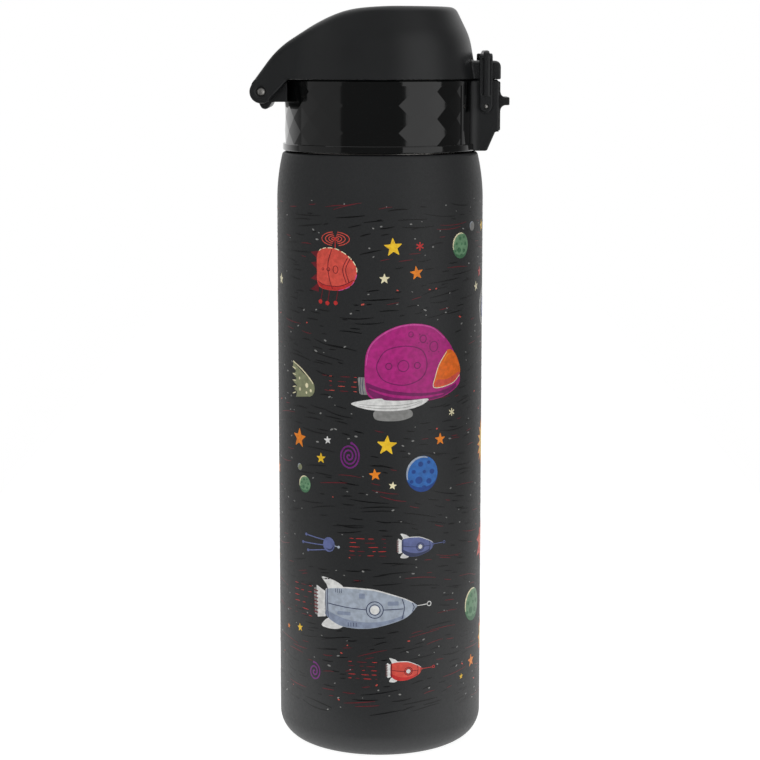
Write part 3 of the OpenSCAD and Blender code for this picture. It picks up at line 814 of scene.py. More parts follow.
class BOTTLE_OT_cap(bpy.types.Operator):
    """The flip cap, with its seal carrier and the seal"""

    bl_idname = "bottle.cap"
    bl_label = "Cap"

    def execute(self, context):
        cell = context.scene.bottle_sizes.moulding_step / MM
        low = (PIN_X - BOSS_R, -DOME_R, PIN_Z - BOSS_R)
        high = (CAP_HIGH.x, DOME_R, CAP_HIGH.z)
        mesh = to_mesh("cap_moulded", *moulded(cap_shape, low, high, cell), 50, False)
        place("cap_moulded", mesh, "cap", "satin_abs", ("satin",), ("cap_shell",))
        seal_r = (SEAL_HIGH.x - SEAL_LOW.x) / 2
        plate = SEAL_HIGH.z
        roof = CAP_HIGH.z - CAP_T + 0.1
        carrier = rounded([
            (seal_r, plate - 1.9, 0.3), (seal_r + 1.4, plate - 1.9, 0.3), (seal_r + 1.4, plate, 0.3),
            (seal_r + 7.5, plate, 0.4), (seal_r + 7.5, plate + 1.6, 0.4), (6, plate + 1.6, 0.6),
            (6, roof, 0), (4, roof, 0), (4, plate, 0), (seal_r, plate, 0)])
        mesh = to_mesh("seal_carrier", *turned(carrier, SPOUT_X, 144))
        place("seal_carrier", mesh, "cap", "satin_pp", ("liner",), ("cap_liner",))
        top = SPOUT_HIGH.z
        seal = rounded([
            (0.0, SEAL_LOW.z, 0), (SPOUT_BORE_R - 0.7, SEAL_LOW.z, 0.3), (SPOUT_BORE_R - 0.3, top, 0.2),
            (seal_r, top, 0.25), (seal_r, plate, 0.1), (0.0, plate, 0)])
        mesh = to_mesh("seal_moulded", *turned(seal, SPOUT_X, 128))
        place("seal_moulded", mesh, "cap", "silicone", ("silicone",), ("spout_seal",))
        return {"FINISHED"}


# ---------------------------------------------------------------- catch and bail


def button_shape(x, y, z):
    """The catch's button: a plate with a flared thumb ledge, a barrel on the pin, and a hook on its stem."""
    w = np.abs(y)
    back, front = PLATE_HIGH.x - 5.8, PLATE_HIGH.x - 3.0
    half = CHEEK_IN - 0.3
    ledge_z = BAIL_Z + 1.6
    upright = span(z, POCKET_Z + 0.3, COLLAR_HIGH.z - 0.3)
    plate = both(both(span(x, back, front), w - half, 0.5), upright, 0.5)
    ledge = both(span(x, back + 1, PLATE_HIGH.x), np.abs(z - ledge_z) - 1.3, 0.4)
    ledge = both(ledge, w - half, 0.5)
    flare = 1.75 - np.hypot(x - front - 1.8, np.abs(z - ledge_z) - 3.05)
    web = both(span(x, front - 0.5, front + 1.8), np.abs(z - ledge_z) - 3.05)
    web = both(web, both(flare, w - half, 0.4))
    barrel = both(rod(x, z, BUTTON_X, BUTTON_Z, 1.8), w - half)
    stem = both(span(x, back - 1.6, back + 0.4), span(z, COLLAR_HIGH.z - 4, PLATE_HIGH.z))
    stem = less(stem, both(back - x, COLLAR_HIGH.z - z))
    hook_low = PLATE_HIGH.z - 2.0
    nose = both(both(span(x, back - 1.6, back + 1.3), hook_low - z),
                beside(x, z, (back, PLATE_HIGH.z), (back + 1.3, hook_low + 0.4)))
    hook = both(either(stem, both(nose, z - PLATE_HIGH.z), 0.2), w - 3.8, 0.3)
    whole = either(either(plate, ledge, 0.0), web, 0.0)
    whole = either(either(whole, barrel, 0.6), hook, 0.3)
    return less(whole, rod(x, z, BUTTON_X, BUTTON_Z, 0.85))


BAIL_IN = 9.7
BAIL_OUT = 11.0
BAIL_HALF = 2.15


def bail_shape(x, y, z):
    """The safety bail: a strap with a groove and a raised rib, bent over the lug, with an eye each side."""
    w, dx = np.abs(y), x - BAIL_X
    top = LOOP_HIGH.z - 1.0
    corner = lambda out, crown, r: both(w - out, z - crown, r)
    outside, inside = corner(BAIL_OUT, top, 2.0), corner(BAIL_IN, top - 1.3, 1.0)
    eye = rod(x, z, BAIL_X, BAIL_Z, 2.025)
    waist = np.minimum(BAIL_HALF, 1.9 + 0.3 * (z - BAIL_Z - 0.6) / 4.8)
    rear = -dx - np.where(z < BAIL_Z + 5.4, waist, BAIL_HALF)
    rear = np.where(w < BAIL_IN - 0.3, -dx - 1.3, rear)
    leg = both(both(rear, dx - BAIL_HALF, 0.3), BAIL_Z - z)
    strap = both(both(either(leg, eye, 0.3), outside, 0.5), -inside, 0.3)
    height = z - BAIL_Z
    skin = np.maximum(outside, -1.0)
    bend = np.clip((4.6 - height) / 2.4, 0, 1)
    side_only = both(3.6 - height, z - top + 1.6, 0.6)
    groove = both(span(dx, -1.5 + 0.6 * bend, -0.7 + 0.1 * bend), both(-0.7 - skin, side_only, 0.4), 0.2)
    dip = both(span(dx, 1.25, 1.5), both(-0.3 - skin, side_only, 0.4))
    strap = less(less(strap, groove, 0.3), dip, 0.15)
    rib_out = corner(BAIL_OUT + 0.2, LOOP_HIGH.z, 2.8)
    rib = both(both(span(dx, -0.75, 1.2), rib_out, 0.9), both(-inside, 3.2 - height, 0.6), 0.3)
    both_parts = either(strap, rib, 0.35)
    return less(both_parts, rod(x, z, BAIL_X, BAIL_Z, 0.78))


class BOTTLE_OT_catch(bpy.types.Operator):
    """The catch's button, and the safety bail over the lug"""

    bl_idname = "bottle.catch"
    bl_label = "Catch and bail"

    def execute(self, context):
        low, high = tuple(PLATE_LOW), tuple(PLATE_HIGH)
        mesh = to_mesh("button_moulded", *moulded(button_shape, low, high, 0.24), 50, False)
        place("button_moulded", mesh, "button", "satin_abs", ("satin",), ("latch_button",))
        low = (BAIL_X - 2.2, -BAIL_OUT - 0.3, BAIL_Z - 2.1)
        high = (BAIL_X + 2.2, BAIL_OUT + 0.3, LOOP_HIGH.z)
        mesh = to_mesh("bail_moulded", *moulded(bail_shape, low, high, 0.2), 50, False)
        place("bail_moulded", mesh, "bail", "satin_abs", ("satin",), ("lock_bail",))
        return {"FINISHED"}


# ---------------------------------------------------------------- pins


def pin_between(x, z, r, start, end, dome):
    """A pin along Y with rounded ends."""
    out = [(0.0, start - dome), (r * 0.6, start - dome * 0.8), (r, start)]
    out += [(r, end), (r * 0.6, end + dome * 0.8), (0.0, end + dome)]
    points, faces = turned(out, 0, 40)
    return [(x + px, pz, z + py) for px, py, pz in points], faces


class BOTTLE_OT_pins(bpy.types.Operator):
    """The hinge's pin with its heads, and the bail's two pins"""

    bl_idname = "bottle.pins"
    bl_label = "Pins"

    def execute(self, context):
        head = TONGUE_HALF - RECESS_T
        shank = pin_between(PIN_X, PIN_Z, 1.0, -head - 0.1, head + 0.1, 0.0)
        near = pin_between(PIN_X, PIN_Z, 1.3, -head - 0.2, -head, 0.4)
        far = pin_between(PIN_X, PIN_Z, 1.3, head, head + 0.2, 0.4)
        mesh = to_mesh("hinge_pin_turned", *gather(shank, near, far), 60)
        place("hinge_pin_turned", mesh, "lid", "pin_steel", ("pin",), ("hinge_pin",))
        for name, side in (("near", -1), ("far", 1)):
            ends = sorted((side * (CHEEK_IN + 0.5), side * (BAIL_OUT + 0.05)))
            points, faces = pin_between(BAIL_X, BAIL_Z, 0.625, *ends, 0.3)
            mesh = to_mesh("bail_pin_turned_" + name, points, faces, 60)
            place("bail_pin_turned_" + name, mesh, "lid", "pin_steel", ("pin",), ("bail_pin_" + name,))
        return {"FINISHED"}


# ---------------------------------------------------------------- print
# The print is drawn flat: s is millimetres round the wall from the front, to the right, and z is height.
# Each shape belongs to an ink and a layer; later layers stand on earlier ones.

FILL_STEP = 1.2  # longest step that follows the round wall closely enough
PRINT_LOW, PRINT_HIGH = 16.0, 184.0
ROUND = 213.6  # millimetres once round the wall
FILM_FOOT = 0.02  # how far the ink's foot is sunk in the coat


class Artwork:
    """Shapes by ink and layer, and the circles that fine strokes keep out of."""

    def __init__(self):
        self.fills = {}
        self.strips = {}
        self.taken = []

    def fill(self, ink, outline, layer=0):
        """A filled outline."""
        self.fills.setdefault((ink, layer), []).append([tuple(p) for p in outline])

    def line(self, ink, path, width, layer=0, closed=False, taper=False):
        """A drawn line of even width, or pointed at both ends."""
        path = finely(path, closed)
        n = len(path)
        left, right = [], []
        for i, p in enumerate(path):
            ahead = path[(i + 1) % n] if closed or i < n - 1 else p
            behind = path[i - 1] if closed or i > 0 else p
            along = (ahead - behind).normalized()
            half = width / 2 * (0.45 + 0.55 * math.sin(math.pi * i / (n - 1)) if taper else 1.0)
            side = Vector((-along.y, along.x)) * half
            left.append(tuple(p + side))
            right.append(tuple(p - side))
        self.strips.setdefault((ink, layer), []).append((left, right, closed))

    def dot(self, ink, s, z, r, layer=0, squash=1.0):
        """A filled round or oval spot."""
        self.fill(ink, oval(s, z, r, r * squash, 0, 14), layer)

    def ring(self, ink, s, z, r, width, layer=1, squash=1.0):
        """A drawn circle or oval."""
        self.line(ink, oval(s, z, r, r * squash, 0, 28), width, layer, closed=True)

    def keep(self, s, z, r):
        """Fine strokes stay out of this circle."""
        self.taken.append((s, z, r))


def finely(path, closed=False):
    """The path with more points, so that none of its steps is long enough to cut into the round wall."""
    path = [Vector(p) for p in path]
    out = []
    for a, b in zip(path, path[1:] + (path[:1] if closed else [])):
        steps = max(1, math.ceil(abs(b.x - a.x) / FILL_STEP))
        out += [a.lerp(b, k / steps) for k in range(steps)]
    return out if closed else out + path[-1:]


def oval(s, z, a, b, turn=0.0, steps=36):
    """Points of an ellipse, turned by an angle in degrees."""
    t = math.radians(turn)
    out = []
    for i in range(steps):
        c, d = a * math.cos(2 * math.pi * i / steps), b * math.sin(2 * math.pi * i / steps)
        out.append((s + c * math.cos(t) - d * math.sin(t), z + c * math.sin(t) + d * math.cos(t)))
    return out


def smooth(points, closed=True, steps=6):
    """A smooth curve through the points."""
    n = len(points)
    out = []
    for i in range(n if closed else n - 1):
        pick = lambda k: points[k % n] if closed else points[min(max(k, 0), n - 1)]
        p0, p1, p2, p3 = (Vector(pick(i + k)) for k in (-1, 0, 1, 2))
        for k in range(steps):
            t = k / steps
            out.append(tuple(0.5 * (2 * p1 + (p2 - p0) * t + (2 * p0 - 5 * p1 + 4 * p2 - p3) * t * t
                                    + (3 * p1 - p0 - 3 * p2 + p3) * t ** 3)))
    return out if closed else out + [tuple(points[-1])]


def star(art, ink, s, z, r, turn=0.0, squash=1.0):
    """A five-pointed star with slightly rounded points."""
    out = []
    for i in range(10):
        a = math.radians(90 + turn + 36 * i)
        q = r * (1.1 if i % 2 == 0 else 0.42 * 1.1)
        bend = (0.05 if i % 2 == 0 else 0.04) * r
        out.append((s + squash * q * math.cos(a), z + q * math.sin(a), bend))
    art.fill(ink, rounded(out, 3))
    art.keep(s, z, r * 1.2)


def asterisk(art, ink, s, z, r, width):
    """A six-armed twinkle."""
    for i in range(3):
        a = math.radians(90 + 60 * i)
        c, d = r * math.cos(a), r * math.sin(a)
        path = [(s - c, z - d), (s - c / 3, z - d / 3), (s + c / 3, z + d / 3), (s + c, z + d)]
        art.line(ink, path, width, i % 2)
    art.keep(s, z, r * 1.3)


def planet(art, ink, dark, rim, s, z, a, b, spots):
    """A spotted planet, lit at its upper left and shaded below; spots are (across, up, size) in radii."""
    art.fill(ink, oval(s, z, a, b))
    low = [(s + a * math.cos(math.radians(t)), z + b * math.sin(math.radians(t)))
           for t in range(185, 360, 7)]
    back = [(s + a * math.cos(math.radians(t)) * 0.97, z + b * (0.62 * math.sin(math.radians(t)) - 0.12))
            for t in range(355, 184, -7)]
    art.fill(dark, low + back, 1)
    lit = [(s + 0.95 * a * math.cos(math.radians(t)), z + 0.95 * b * math.sin(math.radians(t)))
           for t in range(70, 205, 8)]
    art.line(rim, lit, 0.1 * min(a, b) + 0.12, 1, taper=True)
    for across, up, size in spots:
        art.dot(dark, s + across * a, z + up * b, size * a, 2, b / a * 0.9)
    art.keep(s, z, max(a, b) * 1.12)


SPOTS = [(-0.55, 0.15, 0.13), (-0.12, 0.55, 0.16), (0.4, 0.62, 0.11), (0.12, 0.12, 0.11),
         (0.62, 0.1, 0.16), (-0.22, -0.34, 0.23), (0.42, -0.42, 0.17), (-0.68, -0.4, 0.12),
         (0.1, -0.78, 0.16)]


def whorl(art, ink, s, z, a, b, turns, width, turn=0.0):
    """A drawn spiral galaxy."""
    steps = int(turns * 26)
    path = []
    for i in range(steps + 1):
        q = (i / steps) ** 0.85
        t = 2 * math.pi * turns * i / steps + math.radians(turn)
        path.append((s + a * q * math.cos(t), z + b * q * math.sin(t)))
    art.line(ink, path, width)
    art.dot(ink, *path[-1], width * 0.8, 1)
    art.keep(s, z, max(a, b) * 1.1)


def dashes(art, inks, s, z, length, height, rows, seed):
    """Speed marks behind a craft: broken level lines."""
    draw = random.Random(seed)
    for i in range(rows):
        y = z + height * (i / max(1, rows - 1) - 0.5)
        x = s
        while x < s + length:
            run = draw.uniform(0.8, 3.4)
            stop = min(x + run, s + length)
            lift = draw.uniform(-0.12, 0.12)
            path = [(x, y), ((x + stop) / 2, y + lift / 2), (stop, y + lift)]
            art.line(inks[draw.randrange(len(inks))], path, 0.24, taper=True)
            x = stop + draw.uniform(0.6, 3.0)
    art.keep(s + length / 2, z, length * 0.35)


def rocket(art, s, z, scale, hull, shadow, trim, fins, tip, length=1.0):
    """A rocket flying right; s and z are the middle of its porthole, scale and length its size."""
    q = lambda a, b: (s + a * scale * length, z + b * scale)
    top = [q(*p) for p in ((-17.4, 4.6), (-16.0, 6.2), (-9.8, 7.0), (-3.6, 6.9), (1.2, 6.3), (9.0, 3.8),
                           (12.8, 2.0), (14.3, 0.9))]
    low = [q(*p) for p in ((12.8, -0.7), (9.8, -3.1), (2.1, -5.5), (-3.6, -6.4), (-10.7, -6.1),
                           (-15.0, -4.4), (-17.4, -2.4))]
    body = smooth(top, False, 4) + smooth(low, False, 4)
    art.fill(fins, smooth([q(-18.4, 9.8), q(-13.6, 9.0), q(-10.4, 7.0), q(-12.0, 5.0), q(-15.6, 5.4),
                           q(-16.6, 7.4)]))
    art.fill(fins, smooth([q(-18.6, -6.4), q(-16.4, -7.2), q(-12.6, -7.1), q(-10.5, -5.8), q(-12.6, -4.4),
                           q(-16.0, -3.8)]))
    art.fill("grey", rounded([(*q(-21.7, 5.6), 0.1), (*q(-19.8, 6.1), 0.1), (*q(-19.8, -3.6), 0.1),
                              (*q(-21.3, -3.1), 0.1)], 2))
    art.fill(fins, rounded([(*q(-20.6, 6.7), 0.12), (*q(-17.0, 5.0), 0.1), (*q(-17.0, -3.4), 0.1),
                            (*q(-20.2, -4.0), 0.12)], 2), 1)
    for k in range(7):
        art.line("dark_red", [q(-21.8, 4.9 - 1.2 * k), q(-20.0, 4.7 - 1.2 * k)], 0.42 * scale, 2)
    art.fill(hull, body, 1)
    art.line("white", smooth(top[:-1], False, 4), 0.4 * scale + 0.08, 2, taper=True)
    belly = smooth([q(-17.0, -1.0), q(-10, -3.4), q(-3, -4.2), q(4, -3.6), q(9.6, -1.9)], False, 4)
    under = smooth([q(9.6, -3.0), q(2.1, -5.35), q(-3.6, -6.25), q(-10.7, -5.95), q(-15.0, -4.3),
                    q(-17.2, -2.5)], False, 4)
    art.fill(shadow, belly + under, 2)
    wide = max(0.2, 0.27 * scale)
    art.line(trim, [q(-16.9, 5.6), q(-17.0, 1.6), q(-16.8, -3.0)], wide, 3)
    art.line(trim, [q(-16.2, 6.4), q(-16.3, 1.6), q(-16.0, -3.6)], wide, 3)
    art.line(trim, [q(-16.0, 1.2), q(-9.0, 0.4), q(-2.9, 0.0)], wide, 3)
    art.line(trim, [q(2.8, 0.0), q(6.0, 0.1), q(9.3, 0.2)], wide, 3)
    art.line(trim, smooth([q(8.9, 3.6), q(9.7, 0.6), q(8.9, -3.2)], False, 4), wide, 3)
    art.line(trim, [q(12.4, 2.0), q(13.0, 0.6), q(12.4, -0.9)], wide, 3)
    art.dot("white", s, z, 1.5 * scale, 3)
    for r in (2.75, 1.75):
        art.ring(trim, s, z, r * scale, wide, 4)
    if scale > 0.7:
        for a, b, step in ((-13.2, 6.4, 0.7), (-8.8, -4.5, 0.9)):
            for k in range(4):
                art.line(trim, [q(a + step * k, b), q(a + step * k, b - 1.3)], 0.18, 3)
        for a, b, w, h in ((-5.2, 5.4, 2.0, 1.7), (4.2, 2.8, 3.6, 1.4), (-12.6, -1.0, 4.6, 1.2)):
            plate = [q(a, b), q(a + w, b), q(a + w, b - h), q(a, b - h)]
            art.fill(shadow, rounded([(*p, 0.3) for p in plate], 2), 3)
    reach = 1.0 + 0.45 * (1 - length) / 0.3
    art.line(tip, [q(14.0, 0.9), q(17.6 * reach, 1.1)], wide, 1)
    art.ring(tip, q(18.4 * reach, 0)[0], z + 1.15 * scale, max(0.4, 0.7 * scale), wide, 1)
    for a in (-15, -6, 4, 11):
        art.keep(s + a * scale * length, z, 7.2 * scale)


def beacon(art, s, z):
    """A coral capsule with a radio mast, vanes at its back and three sensors on stalks."""
    q = lambda a, b: (s + a, z + b)
    for k in range(4):
        y = 4.4 - 3.4 * k
        art.fill("dark_red", [q(-6.6, y + 1.5), q(-9.9, y + (0.9 if k < 2 else -0.9)), q(-6.6, y - 1.5)])
    body = smooth([q(-7.3, 0), q(-7.0, 5.0), q(-4.4, 6.8), q(0.2, 6.6), q(4.6, 4.0), q(6.9, 0.2),
                   q(5.6, -4.2), q(1.6, -6.4), q(-4.2, -6.4), q(-6.9, -4.8)])
    art.fill("coral", body, 1)
    band = smooth([q(-6.9, -3.8), q(-4.2, -5.0), q(1.4, -5.1), q(5.9, -3.0)], False)
    art.fill("red", band + smooth([q(5.4, -4.4), q(1.6, -6.3), q(-4.2, -6.3), q(-6.8, -4.9)], False), 2)
    edge = body[8:30] + body[30:46]
    for i in range(0, len(edge) - 2, 3):
        art.line("cream" if i < 22 else "pink", edge[i:i + 3], 0.26, 2)
    art.line("dark_red", smooth([q(-1.6, 6.5), q(-3.0, 2.0), q(-2.6, -2.6), q(-1.4, -6.2)], False), 0.26, 2)
    art.line("dark_red", smooth([q(-6.9, -3.8), q(-4.2, -5.0), q(1.4, -5.1), q(5.9, -3.0)], False), 0.22, 3)
    for dx, r, b in ((-4.9, 0.36, 1.0), (-2.9, 0.55, 1.0), (-0.3, 0.85, 1.4)):
        art.ring("dark_red", s + dx, z + 0.1, r, 0.2, 3, b)
    for a in (2.2, 3.2):
        art.line("dark_red", smooth([q(a + 1.6, 3.9), q(a, 0.2), q(a + 1.2, -4.0)], False), 0.26, 3)
    art.line("red", [q(-0.4, 6.8), q(-0.4, 9.6)], 0.3, 1)
    for a, b in ((1.2, 0.5), (2.3, 1.0), (3.5, 1.55), (4.9, 2.2)):
        for t0, t1 in ((100, 255), (-75, 80)):
            bow = [(s - 0.4 + a * math.cos(math.radians(t)), z + 9.9 + b * math.sin(math.radians(t)))
                   for t in np.linspace(t0, t1, 9)]
            art.line("coral", bow, 0.26, 1)
    art.dot("red", s - 0.4, z + 9.9, 0.55, 2, 0.7)
    for a, b, c in ((-5.0, -6.2, -10.2), (-2.4, -6.3, -10.6), (0.6, -6.3, -10.4)):
        art.line("dark_red", [q(a, b), q(a - 0.8, c)], 0.28)
        art.dot("red", s + a - 0.9, z + c - 0.2, 0.72, 1)
    for dx, dy, r in ((0, 0, 9.0), (-6, 0, 6.0), (0, 9, 5.5), (-2, -9, 4.0)):
        art.keep(s + dx, z + dy, r)


def dome_ship(art, s, z):
    """A round-backed magenta ship with an amber window, a broad wing and an engine."""
    q = lambda a, b: (s + a, z + b)
    art.fill("grey", rounded([(*q(-20.2, -4.8), 0.5), (*q(-15.0, -4.8), 0), (*q(-15.0, -10.4), 0),
                              (*q(-19.6, -10.4), 0.9)]))
    for a in (-19.2, -18.4):
        art.line("slate", [q(a, -4.9), q(a - 0.25, -7.6), q(a + 0.1, -10.3)], 0.2, 1)
    art.fill("grey", smooth([q(-14.6, -15.6), q(-14.4, -18.4), q(-9.0, -19.0), q(-5.0, -18.6), q(-2.4, -17.4),
                             q(-3.4, -15.4), q(-9.0, -15.0)]))
    hull = smooth([q(-17.9, -1.0), q(-16.8, 4.6), q(-13.2, 8.8), q(-7.6, 11.6), q(-1.4, 12.3), q(4.8, 10.9),
                   q(9.6, 7.2), q(13.6, 2.0), q(16.4, -5.4), q(15.4, -9.0), q(8.0, -12.2), q(-3.0, -13.0),
                   q(-13.8, -12.2), q(-17.4, -9.4)])
    art.fill("magenta", hull, 1)
    lit = smooth([q(-17.5, -1.0), q(-16.4, 4.5), q(-12.9, 8.5), q(-7.5, 11.25), q(-1.4, 11.95), q(4.6, 10.6),
                  q(9.3, 7.0)], False)
    art.line("pink", lit, 0.5, 2, taper=True)
    belly = smooth([q(-17.6, -6.4), q(-10.0, -9.0), q(0.0, -10.2), q(8.0, -10.0), q(14.4, -8.2)], False)
    under = smooth([q(14.8, -9.2), q(8.0, -12.0), q(-3.0, -12.8), q(-13.6, -12.0), q(-17.2, -9.3)], False)
    art.fill("plum", belly + under, 2)
    crease = smooth([q(-16.6, -8.4), q(-10.0, -10.6), q(0.0, -11.6), q(9.0, -11.0)], False)
    art.line("magenta", crease, 0.9, 3, taper=True)
    panel = smooth([q(-13.6, 0.4), q(-10.8, 4.0), q(-4.6, 5.2), q(0.8, 3.6), q(2.6, -1.2), q(0.6, -5.4),
                    q(-5.2, -7.4), q(-11.4, -6.0), q(-13.9, -2.6)])
    art.line("plum", panel, 0.34, 3, closed=True)
    for a, b, r in ((-10.2, -1.2, 1.0), (-5.5, -1.2, 1.8), (-0.8, -1.2, 1.0)):
        art.ring("plum", s + a, z + b, r, 0.32, 3)
    for a, b, r in ((-3.0, 8.9, 0.75), (1.2, 7.3, 1.1), (5.1, 4.6, 1.5)):
        art.ring("plum", s + a, z + b, r, 0.28, 3, 1.1)
    for a, b, r in ((1.2, 7.3, 1.75), (5.1, 4.6, 2.2)):
        for t, u in ((-1, -0.8), (1, -1), (0.9, 1), (-0.8, 1)):
            art.dot("plum", s + a + t * r * 0.85, z + b + u * r * 0.85, 0.2, 3)
    window = smooth([q(5.6, -8.6), q(6.4, -3.4), q(9.0, 1.4), q(11.0, 3.2), q(13.4, 2.2), q(15.6, -1.0),
                     q(16.5, -4.8), q(13.4, -7.4)])
    art.fill("amber", window, 3)
    sill = smooth([q(5.9, -8.4), q(6.2, -6.4), q(10.4, -6.4), q(15.8, -4.6), q(15.6, -6.0), q(11.6, -7.8)])
    art.fill("coral", sill, 4)
    frame_line = [q(10.2, 2.5), q(7.4, -1.0), q(5.8, -5.0), q(5.3, -8.8), q(12.6, -8.0), q(16.2, -5.6)]
    art.line("cream", smooth(frame_line, False), 0.24, 5)
    art.line("orange", smooth([q(9.0, -0.8), q(10.4, 1.4), q(12.2, 1.9)], False), 0.4, 5, taper=True)
    wing = smooth([q(-22.4, -13.5), q(-19.0, -12.4), q(-13.0, -11.6), q(-11.0, -12.2), q(-4.0, -12.4),
                   q(3.0, -12.2), q(1.0, -14.0), q(-4.0, -15.3), q(-11.0, -15.7), q(-18.0, -15.0)])
    art.fill("white", wing, 4)
    for b in (0.0, -0.9):
        art.line("grey", smooth([q(-19.6, -13.6 + b * 0.7), q(-12.0, -14.0 + b), q(-4.6, -13.7 + b),
                                 q(1.0, -12.7 + b * 0.4)], False), 0.16, 5, taper=True)
    for a, b, r in ((-14, -2, 8), (-6, 2, 12), (5, 0, 11), (12, -2, 6), (-12, -14, 8), (-3, -14, 6)):
        art.keep(s + a, z + b, r)


def tailed_rock(art, s, z):
    """An olive meteor: a ragged wedge with a round pale head and a streaming rim."""
    q = lambda a, b: (s + a, z + b)
    art.fill("olive", [q(-5.0, 6.0), q(4.6, 0.4), q(5.0, -2.0), q(2.6, -4.6), q(-3.6, -5.4), q(-3.0, -3.6),
                       q(-4.6, -3.0), q(-3.0, -1.6), q(-5.0, -0.6), q(-3.2, 0.8), q(-5.4, 1.9), q(-3.4, 3.0),
                       q(-5.4, 4.2)])
    art.dot("olive", s + 2.6, z - 1.8, 2.9, 1)
    art.line("cream", smooth([q(-5.2, 6.2), q(-1.0, 4.4), q(2.8, 1.8), q(4.8, -0.2)], False), 0.4, 2)
    for a, b, r in ((2.0, -1.0, 0.7), (3.8, -2.6, 0.45), (1.8, -3.4, 0.4), (-1.6, 1.0, 0.4),
                    (-1.4, -2.6, 0.5)):
        art.dot("cream", s + a, z + b, r, 2, 1.15)
    for k in range(5):
        art.line("cream", [q(-3.6, 3.8 - 1.9 * k), q(-5.6, 4.3 - 2.2 * k)], 0.42, 2, taper=True)
    art.keep(s, z, 7.2)


def satellite(art, s, z):
    """A round satellite with three knobbed aerials behind it."""
    art.dot("steel_blue", s, z, 2.2, 1, 1.12)
    art.dot("slate", s + 0.3, z - 0.5, 1.5, 2, 1.0)
    art.dot("steel_blue", s, z + 0.1, 1.6, 3, 1.0)
    for a, b in ((-9.4, 2.2), (-11.0, -0.6), (-8.6, -3.0)):
        art.line("steel_blue", [(s + a, z + b), (s - 1.2, z + b * 0.6)], 0.34)
        art.dot("steel_blue", s + a, z + b, 0.5, 1)
    art.line("silver", [(s + 2.0, z - 0.2), (s + 3.4, z - 0.5)], 0.3)
    art.dot("silver", s + 3.6, z - 0.5, 0.45, 1)
    art.keep(s - 4, z, 7.5)


def fireball(art, s, z, r, inks=("red", "orange", "yellow"), points=13, drag=0.0):
    """A burning ball with ragged flames; drag draws them out to the left and down."""
    for layer, ink in enumerate(inks):
        draw = random.Random(points + layer)
        rim = []
        for i in range(2 * points):
            a = math.pi * i / points
            q = r * (1.5 - 0.23 * layer) * (1.0 if i % 2 else draw.uniform(0.58, 0.8))
            q *= 1 + drag * max(0.0, math.cos(a - 3.7)) ** 2
            rim.append((s + q * math.cos(a), z + q * math.sin(a)))
        art.fill(ink, rim, layer)
    art.keep(s, z, r * (1.4 + drag))


def ringed(art, s, z, r):
    """A world seen face on inside its ring."""
    art.ring("white", s, z, r, 0.5, 0)
    art.ring("white", s, z, r * 0.8, 0.3, 0)
    planet(art, "steel_blue", "navy", "white", s, z, r * 0.6, r * 0.6, SPOTS[:4])
    art.keep(s, z, r * 1.1)


def front_motifs(art):
    """The side that faces the front."""
    beacon(art, -14.3, 162.0)
    dome_ship(art, 13.0, 132.6)
    tailed_rock(art, -28.2, 124.8)
    dashes(art, ("red", "coral", "dark_red"), -17.0, 125.4, 9.6, 4.6, 4, 11)
    satellite(art, -17.4, 72.2)
    rocket(art, 13.4, 71.9, 0.48, "steel_blue", "slate", "slate", "white", "steel_blue", 0.76)
    dashes(art, ("red", "dark_red"), -10.0, 72.2, 12.0, 5.6, 5, 12)
    rocket(art, -1.7, 51.4, 1.0, "silver", "haze", "slate", "white", "white")
    dashes(art, ("dark_red", "red"), -33.0, 52.2, 8.6, 10.0, 6, 13)
    rocket(art, 9.4, 30.5, 0.48, "coral", "red", "dark_red", "white", "red", 0.72)
    dashes(art, ("red", "dark_red"), -10.5, 31.0, 9.6, 5.6, 5, 14)
    stars = (
        ("yellow", 4.2, 169.4, 2.95, 4), ("orange", 11.9, 161.1, 2.2, 8), ("cream", 1.4, 159.4, 1.65),
        ("yellow", 46.0, 174.4, 2.0, 10), ("red", 43.6, 159.4, 1.8), ("cream", 40.0, 154.9, 1.6, 12),
        ("orange", -30.1, 106.0, 3.3, -4, 0.95), ("white", -17.7, 106.7, 1.35, 6),
        ("yellow", -20.3, 100.5, 1.75), ("yellow", 2.2, 105.7, 3.25, -4), ("orange", 20.7, 106.7, 2.0),
        ("orange", -1.6, 96.1, 1.95, 6), ("cream", 4.1, 92.5, 1.3, -8), ("yellow", -30.3, 42.2, 1.4, 8),
        ("orange", -37.6, 41.2, 0.9), ("orange", 37.7, 29.1, 2.2, 4), ("yellow", 31.2, 25.2, 1.0),
    )
    for each in stars:
        star(art, *each)
    asterisk(art, "red", 13.0, 169.6, 1.35, 0.42)
    asterisk(art, "cream", 25.6, 115.1, 1.25, 0.42)
    planet(art, "green", "dark_green", "cream", 29.6, 169.0, 3.9, 4.2, SPOTS)
    planet(art, "grey", "grey", "silver", 36.4, 174.8, 1.6, 1.5, SPOTS[:3])
    planet(art, "blue", "navy", "silver", 14.1, 95.9, 5.6, 5.9, SPOTS)
    planet(art, "green", "dark_green", "cream", -27.5, 91.0, 2.7, 2.8, SPOTS)
    planet(art, "olive", "grey", "silver", -29.9, 96.4, 1.1, 1.1, SPOTS[:2])
    planet(art, "green", "dark_green", "cream", 38.5, 48.4, 5.4, 5.6, SPOTS)
    whorl(art, "purple", -10.1, 102.0, 3.5, 4.4, 3.1, 0.55, 40)
    whorl(art, "purple", -23.4, 28.6, 2.5, 3.1, 2.1, 0.5, 60)
    ringed(art, 51.0, 147.5, 6.6)
    fireball(art, 51.0, 101.7, 5.6, ("orange", "yellow"), 17)
    fireball(art, 51.5, 69.4, 3.6, ("coral", "red", "amber"), 11, 0.9)
    fireball(art, 52.0, 35.0, 4.4, ("amber", "yellow", "cream"), 9)


